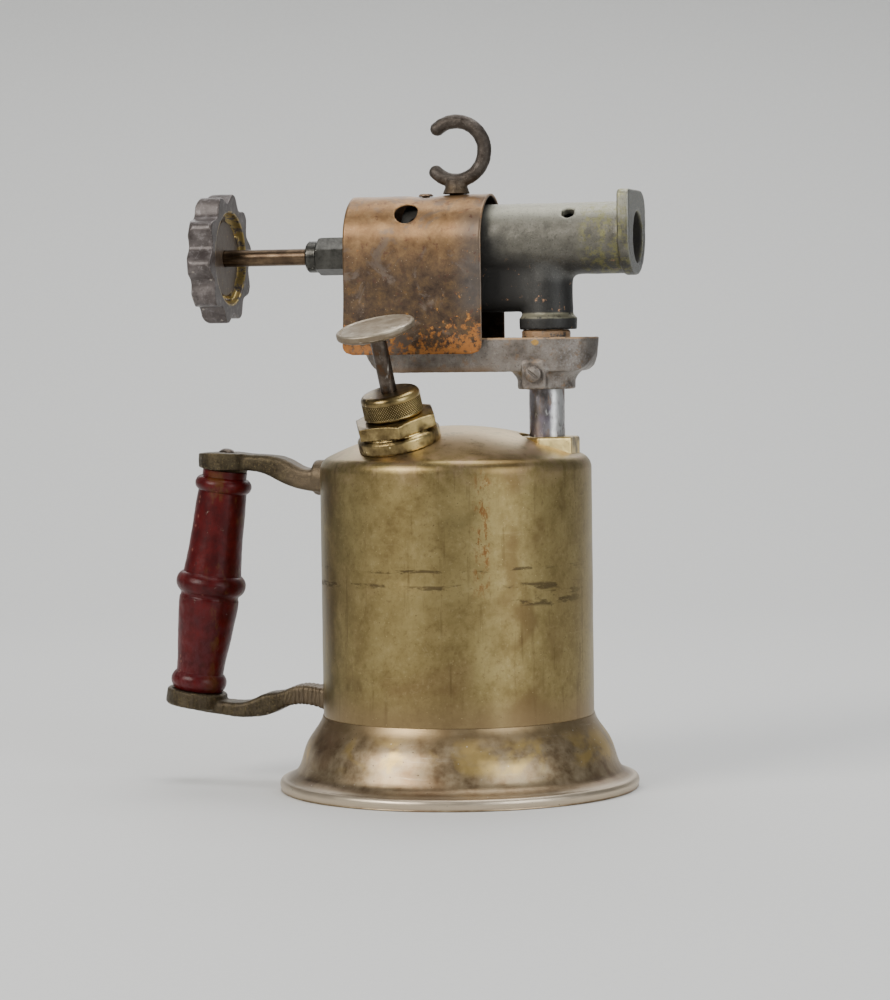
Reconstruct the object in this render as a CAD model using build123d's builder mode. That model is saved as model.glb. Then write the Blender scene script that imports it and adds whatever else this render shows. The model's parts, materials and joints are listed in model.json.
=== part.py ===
"""Gasoline blow torch: brass tank, hand pump, priming cup, cast burner, needle valve and wooden handle.

Millimetres. The origin is on the tank's axis at the surface the torch stands on, +Z is up, and the
burner fires along +X. The handle and the valve's handwheel are on the -X side.
"""
from build123d import *
from math import cos, radians, sin, sqrt
import os

os.makedirs("parts", exist_ok=True)

# ---------------------------------------------------------------- tank
tank_r = 54.0
tank_wall = 0.9
tank_floor_z = 20.0
dome_top_z = 144.0
dome_radius = 114.5
shoulder_radius = 6.0
dome_centre_z = dome_top_z - dome_radius

# ---------------------------------------------------------------- base
skirt_sheet = 0.9
skirt_top_z = 29.5
base_r = 71.7
bead_r = 2.4
dish_rim_z = 27.0
dish_centre_z = 35.0
dish_flat_r = 15.0

# ---------------------------------------------------------------- filler in the tank's bottom
filler_hole_r = 9.5
filler_bore_r = 7.0
filler_flange_r = 13.5
filler_flange_t = 2.5
filler_spigot_top_z = 42.0
filler_gasket_t = 1.2
filler_head_flats = 20.0
filler_head_t = 6.5

# ---------------------------------------------------------------- standpipe
pipe_x = 37.5
pipe_r = 7.1
pipe_bore_r = 4.6
pipe_top_z = 187.0
bushing_top_z = 139.6
bushing_flats = 23.0
bushing_turn = 27.8
pickup_r = 5.6
pickup_bore_r = 4.4
pickup_bottom_z = 44.0
wick_r = 3.6

# ---------------------------------------------------------------- pump, measured along its own axis
pump_azimuth = 245.0
pump_lean = 17.1
pump_foot_r = 33.7
barrel_r = 10.0
barrel_bore_r = 9.2
barrel_bottom = -84.0
neck_top = 17.0
bung_r = 16.25
bung_step_r = 14.8
bung_top = 4.0
collar_flats = 30.0
collar_bottom = 5.0
collar_top = 10.2
neck_r = 10.6
cap_r = 11.7
cap_bottom = 10.6
cap_top = 20.3
cap_edge_r = 2.4
cap_roof_t = 2.0
pump_rod_r = 3.15
knob_r = 15.5
knob_bottom = 41.5
knob_top = 47.0
piston_top = -48.0
piston_stud_r = 1.8
cup_r = 9.14

# ---------------------------------------------------------------- handle
grip_top = Vector(-96.7, 0, 126.4)
grip_bottom = Vector(-110.0, 0, 37.1)
arm_width = 13.0
upper_arm_edge_r = 2.4
lower_arm_edge_r = 2.0
foot_disc_z = 123.4
foot_disc_r = 7.2
lower_plate_r = 12.4
lower_plate_t = 6.8
handle_rod_r = 2.6

# ---------------------------------------------------------------- priming cup
trough_left = -37.6
trough_right = 58.5
trough_half_width = 15.5
trough_top_z = 178.6
trough_floor_z = 165.1
trough_wall = 2.2
trough_boss_r = 11.5
trough_boss_bottom_z = 158.1
trough_boss_top_z = 174.0
set_screw_x = pipe_x - 1.7
set_screw_z = 164.2
set_screw_seat = 14.9

# ---------------------------------------------------------------- burner
tube_z = 217.0
tube_r = 14.1
tube_bore_r = 10.6
tube_left = -18.0
mouth_x = 75.0
mouth_bore_r = 10.0
mouth_bore_length = 18.0
mouth_flange_t = 5.0
mouth_flange_width = 33.0
mouth_flange_height = 33.2
mouth_flange_y = -2.5
mouth_flange_z = 218.8
neck_x = 38.4
collar_bottom_z = 181.5
collar_flare_z = 186.0
collar_top_z = 187.6
burner_collar_r = 11.5
burner_neck_r = 10.0
web_half_width = 7.9
feed_z = 196.5
feed_r = 8.0
feed_left = -30.0
gas_way_r = 2.5

# ---------------------------------------------------------------- needle valve
valve_z = 211.8
block_left = -42.0
block_r = 9.5
block_neck_r = 5.9
block_neck_left = -50.0
spindle_r = 3.35
spindle_clearance = 0.07
spindle_right = -30.0
jet_x = -18.0
wheel_left = -103.0
wheel_right = -92.7
wheel_lobe_r = 26.5
wheel_notch_r = 22.4
wheel_lobes = 10
wheel_lobe_start = 28.4
wheel_bore_r = 18.5
wheel_hub_r = 15.0

# ---------------------------------------------------------------- heat shield and hook
shield_left = -40.0
shield_right = 16.0
shield_r = 19.0
shield_sheet = 0.8
shield_top_z = 235.4
shield_bottom_z = 172.4
shield_screw_x = -10.8
hook_x = 1.7
hook_z = 252.4
hook_r = 11.6
hook_bar_r = 2.9


# ---------------------------------------------------------------- shared geometry
def turning_plane(origin, along, outward):
    """Plane whose local x is the radius and local y the distance along a turned part's axis."""
    return Plane(origin=origin, x_dir=outward, z_dir=Vector(outward).cross(Vector(along)))


def polar(radius, angle, height=0.0):
    return Vector(radius * cos(radians(angle)), radius * sin(radians(angle)), height)


pump_dir = polar(sin(radians(pump_lean)), pump_azimuth, cos(radians(pump_lean)))
pump_foot = polar(pump_foot_r, pump_azimuth, dome_top_z - pump_foot_r**2 / (2 * dome_radius))
pump_outward = polar(cos(radians(pump_lean)), pump_azimuth, -sin(radians(pump_lean)))
grip_dir = (grip_bottom - grip_top).normalized()
grip_outward = Vector(grip_dir.Z, 0, -grip_dir.X)

TANK = (Plane.XZ, Axis.Z)
PIPE = (turning_plane((pipe_x, 0, 0), (0, 0, 1), (1, 0, 0)), Axis((pipe_x, 0, 0), (0, 0, 1)))
NECK = (turning_plane((neck_x, 0, 0), (0, 0, 1), (1, 0, 0)), Axis((neck_x, 0, 0), (0, 0, 1)))
PUMP = (turning_plane(pump_foot, pump_dir, pump_outward), Axis(pump_foot, pump_dir))
GRIP = (turning_plane(grip_top, grip_dir, grip_outward), Axis(grip_top, grip_dir))
UPPER_FOOT = (turning_plane((0, 0, foot_disc_z), (1, 0, 0), (0, 0, 1)), Axis((0, 0, foot_disc_z), (1, 0, 0)))
FEED = (turning_plane((0, 0, feed_z), (1, 0, 0), (0, 0, 1)), Axis((0, 0, feed_z), (1, 0, 0)))
TUBE = (turning_plane((0, 0, tube_z), (1, 0, 0), (0, 0, 1)), Axis((0, 0, tube_z), (1, 0, 0)))
VALVE = (turning_plane((0, 0, valve_z), (1, 0, 0), (0, 0, 1)), Axis((0, 0, valve_z), (1, 0, 0)))


def turned(line, points, mode=Mode.ADD):
    """Revolve a closed outline of (radius, distance) points about one of the lines above."""
    plane, axis = line
    with BuildSketch(plane) as outline:
        with BuildLine():
            Polyline(*points, close=True)
        make_face()
    revolve(outline.sketch, axis=axis, mode=mode)


def rod(line, radius, start, end, mode=Mode.ADD):
    turned(line, [(0, start), (radius, start), (radius, end), (0, end)], mode)


def ring(line, inner, outer, start, end, mode=Mode.ADD):
    turned(line, [(inner, start), (outer, start), (outer, end), (inner, end)], mode)


def pump_plane(distance, turn=0.0):
    """Plane square to the pump's axis, with its local x turned about that axis."""
    return Plane(origin=pump_foot + pump_dir * distance, x_dir=pump_outward,
                 z_dir=pump_dir).rotated((0, 0, turn))


def hexagon(plane, flats, length, turn=0.0, mode=Mode.ADD):
    with BuildSketch(plane) as outline:
        RegularPolygon(radius=flats / 2, side_count=6, major_radius=False, rotation=turn)
    extrude(outline.sketch, amount=length, mode=mode)


def hex_chamfer(line, flats, corner_drop, start, end):
    """Turn the corners off a hexagon at its `end` face, as on a machined nut."""
    corner_r = flats / sqrt(3)
    sign = 1 if end > start else -1
    turned(line, [(0, start), (corner_r + 1, start), (corner_r + 1, end - sign * corner_drop * 1.6),
                  (flats / 2 - 0.2, end), (0, end)], Mode.INTERSECT)


def save(builder, node):
    builder.part.label = node
    export_step(builder.part, f"parts/{node}.step")


def tank_body(radius, floor_z, dome_r, shoulder_r, mode=Mode.ADD):
    """Solid of revolution of the tank: straight wall, rounded shoulder and spherical dome."""
    dome_centre = Vector(0, dome_centre_z)
    reach = dome_r - shoulder_r
    bend_centre = Vector(radius - shoulder_r, dome_centre_z + sqrt(reach**2 - (radius - shoulder_r)**2))
    up = (bend_centre - dome_centre).normalized()
    bend_end = bend_centre + up * shoulder_r
    bend_middle = bend_centre + (up + Vector(1, 0)).normalized() * shoulder_r
    crown_middle = dome_centre + (up + Vector(0, 1)).normalized() * dome_r
    with BuildSketch(Plane.XZ) as outline:
        with BuildLine():
            Line((0, floor_z), (radius, floor_z))
            Line((radius, floor_z), (radius, bend_centre.Y))
            ThreePointArc((radius, bend_centre.Y), bend_middle, bend_end)
            ThreePointArc(bend_end, crown_middle, (0, dome_centre_z + dome_r))
            Line((0, dome_centre_z + dome_r), (0, floor_z))
        make_face()
    revolve(outline.sketch, axis=Axis.Z, mode=mode)


# ================================================================ tank
with BuildPart() as tank_shell:
    tank_body(tank_r, tank_floor_z, dome_radius, shoulder_radius)
    inner_r = tank_r - tank_wall
    tank_body(inner_r, tank_floor_z, dome_radius - tank_wall, shoulder_radius - tank_wall, Mode.SUBTRACT)
    rod(PUMP, 11.4, -20, 10, Mode.SUBTRACT)
    bushing_seat = Plane.XY.offset(bushing_top_z - 10)
    with BuildSketch(bushing_seat):
        with Locations((pipe_x, 0)):
            RegularPolygon(radius=bushing_flats / 2, side_count=6, major_radius=False, rotation=bushing_turn)
    extrude(amount=20, mode=Mode.SUBTRACT)
save(tank_shell, "tank_shell")

with BuildPart() as tank_bottom:
    lip_r = tank_r - tank_wall
    turned(TANK, [(lip_r - 0.9, tank_floor_z), (lip_r, tank_floor_z), (lip_r, dish_rim_z + 0.9),
                  (lip_r - 3.0, dish_rim_z + 1.6), (dish_flat_r, dish_centre_z + 0.9),
                  (filler_hole_r, dish_centre_z + 0.9), (filler_hole_r, dish_centre_z),
                  (dish_flat_r, dish_centre_z), (lip_r - 3.2, dish_rim_z + 0.6), (lip_r - 0.9, dish_rim_z)])
save(tank_bottom, "tank_bottom")

with BuildPart() as base_skirt:
    with BuildSketch(Plane.XZ):
        with BuildLine():
            Polyline((tank_r, skirt_top_z - 4.0), (tank_r, skirt_top_z), (tank_r + skirt_sheet, skirt_top_z))
            Spline((tank_r + skirt_sheet, skirt_top_z), (56.3, 25.2), (59.9, 20.0), (61.7, 16.0),
                   (63.4, 10.5),
                   (65.2, 7.3), (68.0, 5.4), (69.6, 4.7))
            Spline((69.6, 4.7), (71.2, 4.1), (base_r, bead_r), (71.2, 0.7), (69.6, 0.0),
                   tangents=((1, 0), (-1, 0)))
            Line((69.6, 0.0), (67.6, 0.0))
            Spline((67.6, 0.0), (66.6, 1.2), (66.6, 3.4), (64.6, 5.6), (62.5, 9.8), (60.8, 15.6),
                   (59.0, 19.4),
                   (55.4, 24.6), (tank_r, skirt_top_z - 4.0))
        make_face()
    revolve(axis=Axis.Z)
save(base_skirt, "base_skirt")

with BuildPart() as filler_bushing:
    flange_bottom = dish_centre_z - filler_flange_t
    turned(TANK, [(filler_bore_r, flange_bottom), (filler_flange_r, flange_bottom),
                  (filler_flange_r, dish_centre_z), (filler_hole_r, dish_centre_z),
                  (filler_hole_r, filler_spigot_top_z), (filler_bore_r, filler_spigot_top_z)])
save(filler_bushing, "filler_bushing")

gasket_top_z = dish_centre_z - filler_flange_t
gasket_bottom_z = gasket_top_z - filler_gasket_t
with BuildPart() as filler_gasket:
    ring(TANK, filler_bore_r + 0.2, 9.6, gasket_bottom_z, gasket_top_z - 0.02)
save(filler_gasket, "filler_gasket")

with BuildPart() as filler_plug:
    head_bottom_z = gasket_bottom_z - 0.02 - filler_head_t
    hexagon(Plane.XY.offset(head_bottom_z), filler_head_flats, filler_head_t)
    rod(TANK, filler_bore_r - 0.08, gasket_bottom_z - 0.1, filler_spigot_top_z - 1.0)
    with BuildSketch(Plane.XY.offset(head_bottom_z)):
        Rectangle(30, 2.0)
    extrude(amount=2.4, mode=Mode.SUBTRACT)
save(filler_plug, "filler_plug")

# ================================================================ standpipe
with BuildPart() as standpipe_bushing:
    with BuildSketch(Plane.XY.offset(bushing_top_z)):
        with Locations((pipe_x, 0)):
            RegularPolygon(radius=bushing_flats / 2, side_count=6, major_radius=False, rotation=bushing_turn)
    extrude(amount=-13.0)
    rod(PIPE, pipe_r, bushing_top_z - 9.0, bushing_top_z, Mode.SUBTRACT)
    rod(PIPE, pickup_r, bushing_top_z - 14.0, bushing_top_z - 9.0, Mode.SUBTRACT)
    chamfer(standpipe_bushing.faces().sort_by(Axis.Z)[-1].outer_wire().edges(), 0.6)
save(standpipe_bushing, "standpipe_bushing")

with BuildPart() as standpipe:
    ring(PIPE, pipe_bore_r, pipe_r, bushing_top_z - 9.0, pipe_top_z)
save(standpipe, "standpipe")

with BuildPart() as pickup_tube:
    ring(PIPE, pickup_bore_r, pickup_r, pickup_bottom_z, bushing_top_z - 9.0)
save(pickup_tube, "pickup_tube")

with BuildPart() as wick:
    rod(PIPE, wick_r, pickup_bottom_z - 4.0, bushing_top_z + 8.0)
    fillet(wick.edges(), 1.0)
save(wick, "wick")

# ================================================================ pump
with BuildPart() as pump_bung:
    turned(PUMP, [(11.4, -3.0), (bung_r, -3.0), (bung_r, bung_top - 1.0), (bung_r - 0.9, bung_top),
                  (bung_step_r, bung_top), (bung_step_r, collar_bottom), (11.4, collar_bottom)])
    tank_body(tank_r, tank_floor_z, dome_radius, shoulder_radius, Mode.SUBTRACT)
save(pump_bung, "pump_bung")

with BuildPart() as pump_collar:
    hexagon(pump_plane(collar_bottom), collar_flats, collar_top - collar_bottom, turn=44.0)
    hex_chamfer(PUMP, collar_flats, 0.6, collar_bottom, collar_top)
    rod(PUMP, neck_r, collar_top - 1.0, neck_top)
    rod(PUMP, 11.35, -2.0, collar_bottom + 1.0)
    rod(PUMP, barrel_r, -3.0, neck_top, Mode.SUBTRACT)
save(pump_collar, "pump_collar")

with BuildPart() as pump_barrel:
    ring(PUMP, barrel_bore_r, barrel_r, barrel_bottom, neck_top)
save(pump_barrel, "pump_barrel")

with BuildPart() as cap_washer:
    ring(PUMP, pump_rod_r + 0.25, barrel_r + 0.1, neck_top + 0.05, cap_top - cap_roof_t - 0.05)
save(cap_washer, "cap_washer")

with BuildPart() as pump_cap:
    with BuildSketch(PUMP[0]):
        with BuildLine():
            Polyline((neck_r + 0.08, cap_top - cap_roof_t), (neck_r + 0.08, cap_bottom),
                     (cap_r - 0.5, cap_bottom),
                     (cap_r, cap_bottom + 0.5), (cap_r, cap_top - cap_edge_r))
            RadiusArc((cap_r, cap_top - cap_edge_r), (cap_r - cap_edge_r, cap_top), -cap_edge_r)
            Polyline((cap_r - cap_edge_r, cap_top), (pump_rod_r + 0.09, cap_top),
                     (pump_rod_r + 0.09, cap_top - cap_roof_t), (neck_r + 0.08, cap_top - cap_roof_t))
        make_face()
    revolve(axis=PUMP[1])
    with BuildSketch(pump_plane(cap_top)):
        with PolarLocations(6.3, 2, start_angle=200, angular_range=36, endpoint=True):
            Circle(0.6)
    extrude(amount=-cap_roof_t, mode=Mode.SUBTRACT)
save(pump_cap, "pump_cap")

with BuildPart() as pump_rod:
    rod(PUMP, pump_rod_r, piston_top, knob_bottom)
    rod(PUMP, 2.4, knob_bottom - 0.5, knob_top - 2.0)
    rod(PUMP, piston_stud_r, piston_top - 9.0, piston_top + 0.5)
save(pump_rod, "pump_rod")

with BuildPart() as pump_knob:
    with BuildSketch(PUMP[0]):
        with BuildLine():
            Polyline((2.4, knob_bottom), (5.4, knob_bottom))
            Spline((5.4, knob_bottom), (7.2, knob_bottom + 1.0), (12.4, knob_bottom + 1.5),
                   (knob_r - 0.6, knob_bottom + 2.5), (knob_r, knob_bottom + 3.7),
                   tangents=((0.2, 1), (0, 1)))
            Spline((knob_r, knob_bottom + 3.7), (knob_r - 0.2, knob_top - 0.4), (knob_r - 1.0, knob_top),
                   (knob_r - 2.1, knob_top - 0.35), tangents=((0, 1), (-1, -0.5)))
            Spline((knob_r - 2.1, knob_top - 0.35), (8.0, knob_top + 0.1), (0, knob_top + 0.3),
                   tangents=((-1, 0.3), (-1, 0)))
            Polyline((0, knob_top + 0.3), (0, knob_top - 2.0), (2.4, knob_top - 2.0), (2.4, knob_bottom))
        make_face()
    revolve(axis=PUMP[1])
save(pump_knob, "pump_knob")

with BuildPart() as cup_washer:
    ring(PUMP, piston_stud_r, 8.2, piston_top - 1.4, piston_top)
save(cup_washer, "cup_washer")

with BuildPart() as pump_cup:
    cup_bottom = piston_top - 8.0
    turned(PUMP, [(piston_stud_r, piston_top - 1.4), (cup_r - 1.0, piston_top - 1.4),
                  (cup_r, piston_top - 2.6),
                  (cup_r, cup_bottom), (cup_r - 1.4, cup_bottom), (cup_r - 1.9, piston_top - 3.4),
                  (piston_stud_r, piston_top - 3.2)])
save(pump_cup, "pump_cup")

with BuildPart() as cup_nut:
    hexagon(pump_plane(piston_top - 7.0), 7.5, 3.7)
    rod(PUMP, piston_stud_r, piston_top - 8.0, piston_top, Mode.SUBTRACT)
save(cup_nut, "cup_nut")

valve_seat = barrel_bottom
with BuildPart() as check_valve_body:
    turned(PUMP, [(1.5, valve_seat + 5.0), (barrel_bore_r, valve_seat + 5.0), (barrel_bore_r, valve_seat),
                  (barrel_r, valve_seat), (barrel_r, valve_seat - 2.0), (6.0, valve_seat - 2.0),
                  (6.0, valve_seat - 13.0), (4.2, valve_seat - 13.0), (4.2, valve_seat), (1.5, valve_seat)])
save(check_valve_body, "check_valve_body")

with BuildPart() as check_valve_poppet:
    turned(PUMP, [(0, valve_seat - 0.05), (3.6, valve_seat - 0.05), (3.6, valve_seat - 2.0),
                  (1.2, valve_seat - 2.0), (1.2, valve_seat - 5.0), (0, valve_seat - 5.0)])
save(check_valve_poppet, "check_valve_poppet")

spring_top = valve_seat - 2.4
spring_turns_length = 8.0
with BuildPart() as check_valve_spring:
    spring_base = pump_foot + pump_dir * (spring_top - spring_turns_length)
    with BuildLine() as spring_line:
        Helix(pitch=1.6, height=spring_turns_length, radius=2.4, center=spring_base, direction=pump_dir)
    with BuildSketch(Plane(origin=spring_line.line @ 0, z_dir=spring_line.line % 0)):
        Circle(0.3)
    sweep(path=spring_line.line, is_frenet=True)
save(check_valve_spring, "check_valve_spring")

with BuildPart() as check_valve_retainer:
    ring(PUMP, 1.2, 4.2, valve_seat - 13.0, valve_seat - 11.4)
save(check_valve_retainer, "check_valve_retainer")

# ================================================================ handle
with BuildPart() as handle_grip:
    grip_length = (grip_bottom - grip_top).length
    grip_bore_r = handle_rod_r + 0.2
    with BuildSketch(GRIP[0]):
        with BuildLine():
            Line((grip_bore_r, 0), (9.0, 0))
            Line((9.0, 0), (9.0, 2.8))
            ThreePointArc((9.0, 2.8), (11.5, 5.8), (9.8, 8.8))
            Spline((9.8, 8.8), (10.5, 26.0), (11.8, 42.3), tangents=((0.1, 1), (0.1, 1)))
            ThreePointArc((11.8, 42.3), (14.2, 46.4), (12.2, 50.4))
            ThreePointArc((12.2, 50.4), (11.7, 51.5), (12.1, 52.6))
            Spline((12.1, 52.6), (11.9, 58.0), (10.8, 69.7), (9.6, 83.0), tangents=((0.1, 1), (-0.02, 1)))
            ThreePointArc((9.6, 83.0), (11.3, 86.4), (10.5, 89.2))
            Line((10.5, 89.2), (9.8, grip_length))
            Line((9.8, grip_length), (grip_bore_r, grip_length))
            Line((grip_bore_r, grip_length), (grip_bore_r, 0))
        make_face()
    revolve(axis=GRIP[1])
save(handle_grip, "handle_grip")

rod_head_start = -7.2
with BuildPart() as upper_arm:
    with BuildSketch(Plane.XZ):
        with BuildLine():
            Polyline((-107.6, 126.9), (-107.6, 132.2), (-106.2, 133.6), (-99.5, 133.8))
            Spline((-99.5, 133.8), (-92.6, 133.5), (-82.6, 132.9), (-77.2, 132.6), (-72.6, 131.9),
                   (-68.1, 130.1),
                   (-63.5, 127.7), (-59.0, 126.9), (-53.0, 127.6), tangents=((1, 0), (1, 0.2)))
            Line((-53.0, 127.6), (-53.0, 117.2))
            Spline((-53.0, 117.2), (-59.1, 118.0), (-63.6, 118.8), (-69.7, 120.7), (-75.8, 123.7),
                   (-79.6, 125.3),
                   (-86.5, 126.3), (-94.0, 126.7), tangents=((-1, 0.1), (-1, 0)))
            Line((-94.0, 126.7), (-107.6, 126.9))
        make_face()
    extrude(amount=11.0, both=True)
    with BuildSketch(Plane.XY.offset(100)):
        with Locations((-96.4, 0)):
            Circle(11.0)
        with Locations((-74.0, 0)):
            Rectangle(46.0, arm_width)
    extrude(amount=50.0, mode=Mode.INTERSECT)
    fillet([edge for edge in upper_arm.edges() if edge.length > 20 and abs(edge.center().Y) > 3],
           upper_arm_edge_r)
    turned(UPPER_FOOT, [(0, -59.0), (5.4, -59.0), (6.9, -58.2), (foot_disc_r, -57.0), (foot_disc_r, -50.0),
                        (0, -50.0)])
    rod(GRIP, 9.0, -3.0, 0)
    rod(TANK, tank_r, 100, 150, Mode.SUBTRACT)
    rod(GRIP, 12.5, 0, 30, Mode.SUBTRACT)
    rod(GRIP, handle_rod_r, -12, 12, Mode.SUBTRACT)
    rod(GRIP, 3.7, rod_head_start - 6, rod_head_start, Mode.SUBTRACT)
save(upper_arm, "upper_arm")

with BuildPart() as lower_arm:
    with BuildSketch(Plane.XZ):
        with BuildLine():
            Spline((-53.0, 38.8), (-57.4, 39.5), (-61.0, 40.0), (-66.6, 39.9), (-70.5, 38.4), (-74.3, 37.2),
                   (-78.8, 36.6), (-83.6, 34.7), (-87.5, 33.2), (-92.5, 32.7), (-98.0, 33.0),
                   (-105.0, 33.7), tangents=((-1, 0.1), (-1, 0.1)))
            Polyline((-105.0, 33.7), (-112.0, 34.4), (-113.0, 30.4), (-112.0, 29.6))
            Spline((-112.0, 29.6), (-105.0, 28.2), (-98.8, 27.4), (-90.0, 26.5), (-84.0, 26.7), (-77.3, 28.0),
                   (-71.2, 30.8), (-65.1, 32.0), (-59.0, 31.4), (-53.0, 29.2),
                   tangents=((1, -0.3), (1, -0.5)))
            Line((-53.0, 29.2), (-53.0, 38.8))
        make_face()
    extrude(amount=arm_width / 2, both=True)
    fillet([edge for edge in lower_arm.edges() if edge.length > 40 and abs(edge.center().Y) > 3],
           lower_arm_edge_r)
    plate_end = grip_length + lower_plate_t
    turned(GRIP, [(0, grip_length), (lower_plate_r - 0.8, grip_length), (lower_plate_r, grip_length + 0.8),
                  (lower_plate_r, plate_end - 0.8), (lower_plate_r - 0.8, plate_end), (0, plate_end)])
    rod(TANK, tank_r, 0, 60, Mode.SUBTRACT)
    rod(GRIP, handle_rod_r, grip_length - 2, grip_length + 12, Mode.SUBTRACT)
save(lower_arm, "lower_arm")

with BuildPart() as handle_rod:
    with BuildSketch(GRIP[0]):
        with BuildLine():
            ThreePointArc((0, rod_head_start - 1.6), (2.4, rod_head_start - 1.1), (3.5, rod_head_start))
            Polyline((3.5, rod_head_start), (handle_rod_r, rod_head_start),
                     (handle_rod_r, grip_length + lower_plate_t),
                     (0, grip_length + lower_plate_t), (0, rod_head_start - 1.6))
        make_face()
    revolve(axis=GRIP[1])
save(handle_rod, "handle_rod")


# ================================================================ priming cup
def boat(left, right, half_width, floor_z, mode):
    """Boat-shaped block: a slot in plan with drafted sides, cut to a hull outline seen from the side."""
    depth = trough_top_z - floor_z
    with BuildSketch(Plane.XY.offset(trough_top_z)) as plan:
        with Locations(((left + right) / 2, 0)):
            SlotOverall(right - left, 2 * half_width)
    block = extrude(plan.sketch, amount=-depth, taper=6, mode=Mode.PRIVATE)
    with BuildSketch(Plane.XZ) as side:
        with BuildLine():
            Line((left, trough_top_z), (right, trough_top_z))
            Spline((right, trough_top_z), (right - 0.3, trough_top_z - 5.4),
                   (right - 2.2, trough_top_z - 9.6),
                   (right - 8.0, floor_z), tangents=((0, -1), (-1, -0.2)))
            Line((right - 8.0, floor_z), (left + 12.5, floor_z))
            Spline((left + 12.5, floor_z), (left + 4.6, trough_top_z - 8.0), (left, trough_top_z),
                   tangents=((-1, 0.1), (-0.3, 1)))
        make_face()
    hull = extrude(side.sketch, amount=half_width + 1, both=True, mode=Mode.PRIVATE)
    add(block & hull, mode=mode)


with BuildPart() as priming_cup:
    boat(trough_left, trough_right, trough_half_width, trough_floor_z, Mode.ADD)
    inner = trough_wall
    boat(trough_left + inner, trough_right - inner, trough_half_width - inner, trough_floor_z + inner,
         Mode.SUBTRACT)
    turned(PIPE, [(0, trough_boss_bottom_z), (trough_boss_r - 0.5, trough_boss_bottom_z),
                  (trough_boss_r, trough_boss_bottom_z + 0.5), (trough_boss_r, 161.6),
                  (trough_boss_r + 0.7, 163.2),
                  (trough_boss_r + 2.4, trough_floor_z), (trough_boss_r + 2.4, trough_floor_z + trough_wall),
                  (trough_boss_r - 1.0, trough_floor_z + trough_wall),
                  (trough_boss_r - 1.0, trough_boss_top_z),
                  (0, trough_boss_top_z)])
    with BuildSketch(Plane.XZ):
        with Locations((set_screw_x, (trough_boss_bottom_z + 169.0) / 2)):
            RectangleRounded(9.6, 169.0 - trough_boss_bottom_z, 1.8)
    extrude(amount=set_screw_seat)
    rod(PIPE, pipe_r, trough_boss_bottom_z - 5, trough_top_z + 5, Mode.SUBTRACT)
    with BuildSketch(Plane.XZ.offset(pipe_r - 1)):
        with Locations((set_screw_x, set_screw_z)):
            Circle(2.0)
    extrude(amount=12, mode=Mode.SUBTRACT)
save(priming_cup, "priming_cup")

with BuildPart() as cup_set_screw:
    set_screw_axis = Axis((set_screw_x, 0, set_screw_z), (0, -1, 0))
    with BuildSketch(turning_plane((set_screw_x, 0, set_screw_z), (0, -1, 0), (1, 0, 0))):
        with BuildLine():
            Polyline((0, pipe_r + 0.4), (1.95, pipe_r + 0.4), (1.95, set_screw_seat), (3.3, set_screw_seat),
                     (3.3, set_screw_seat + 1.6))
            ThreePointArc((3.3, set_screw_seat + 1.6), (1.9, set_screw_seat + 2.3), (0, set_screw_seat + 2.5))
            Line((0, set_screw_seat + 2.5), (0, pipe_r + 0.4))
        make_face()
    revolve(axis=set_screw_axis)
    with BuildSketch(Plane.XZ.offset(set_screw_seat + 3.0)):
        with Locations((set_screw_x, set_screw_z)):
            Rectangle(8, 0.8, rotation=-38)
    extrude(amount=-1.2, mode=Mode.SUBTRACT)
save(cup_set_screw, "cup_set_screw")

with BuildPart() as lock_nut:
    ring(PIPE, pipe_r, 9.65, trough_boss_top_z, collar_bottom_z)
    chamfer(lock_nut.edges().filter_by(GeomType.CIRCLE).group_by(SortBy.RADIUS)[-1], 0.7)
save(lock_nut, "lock_nut")

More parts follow.
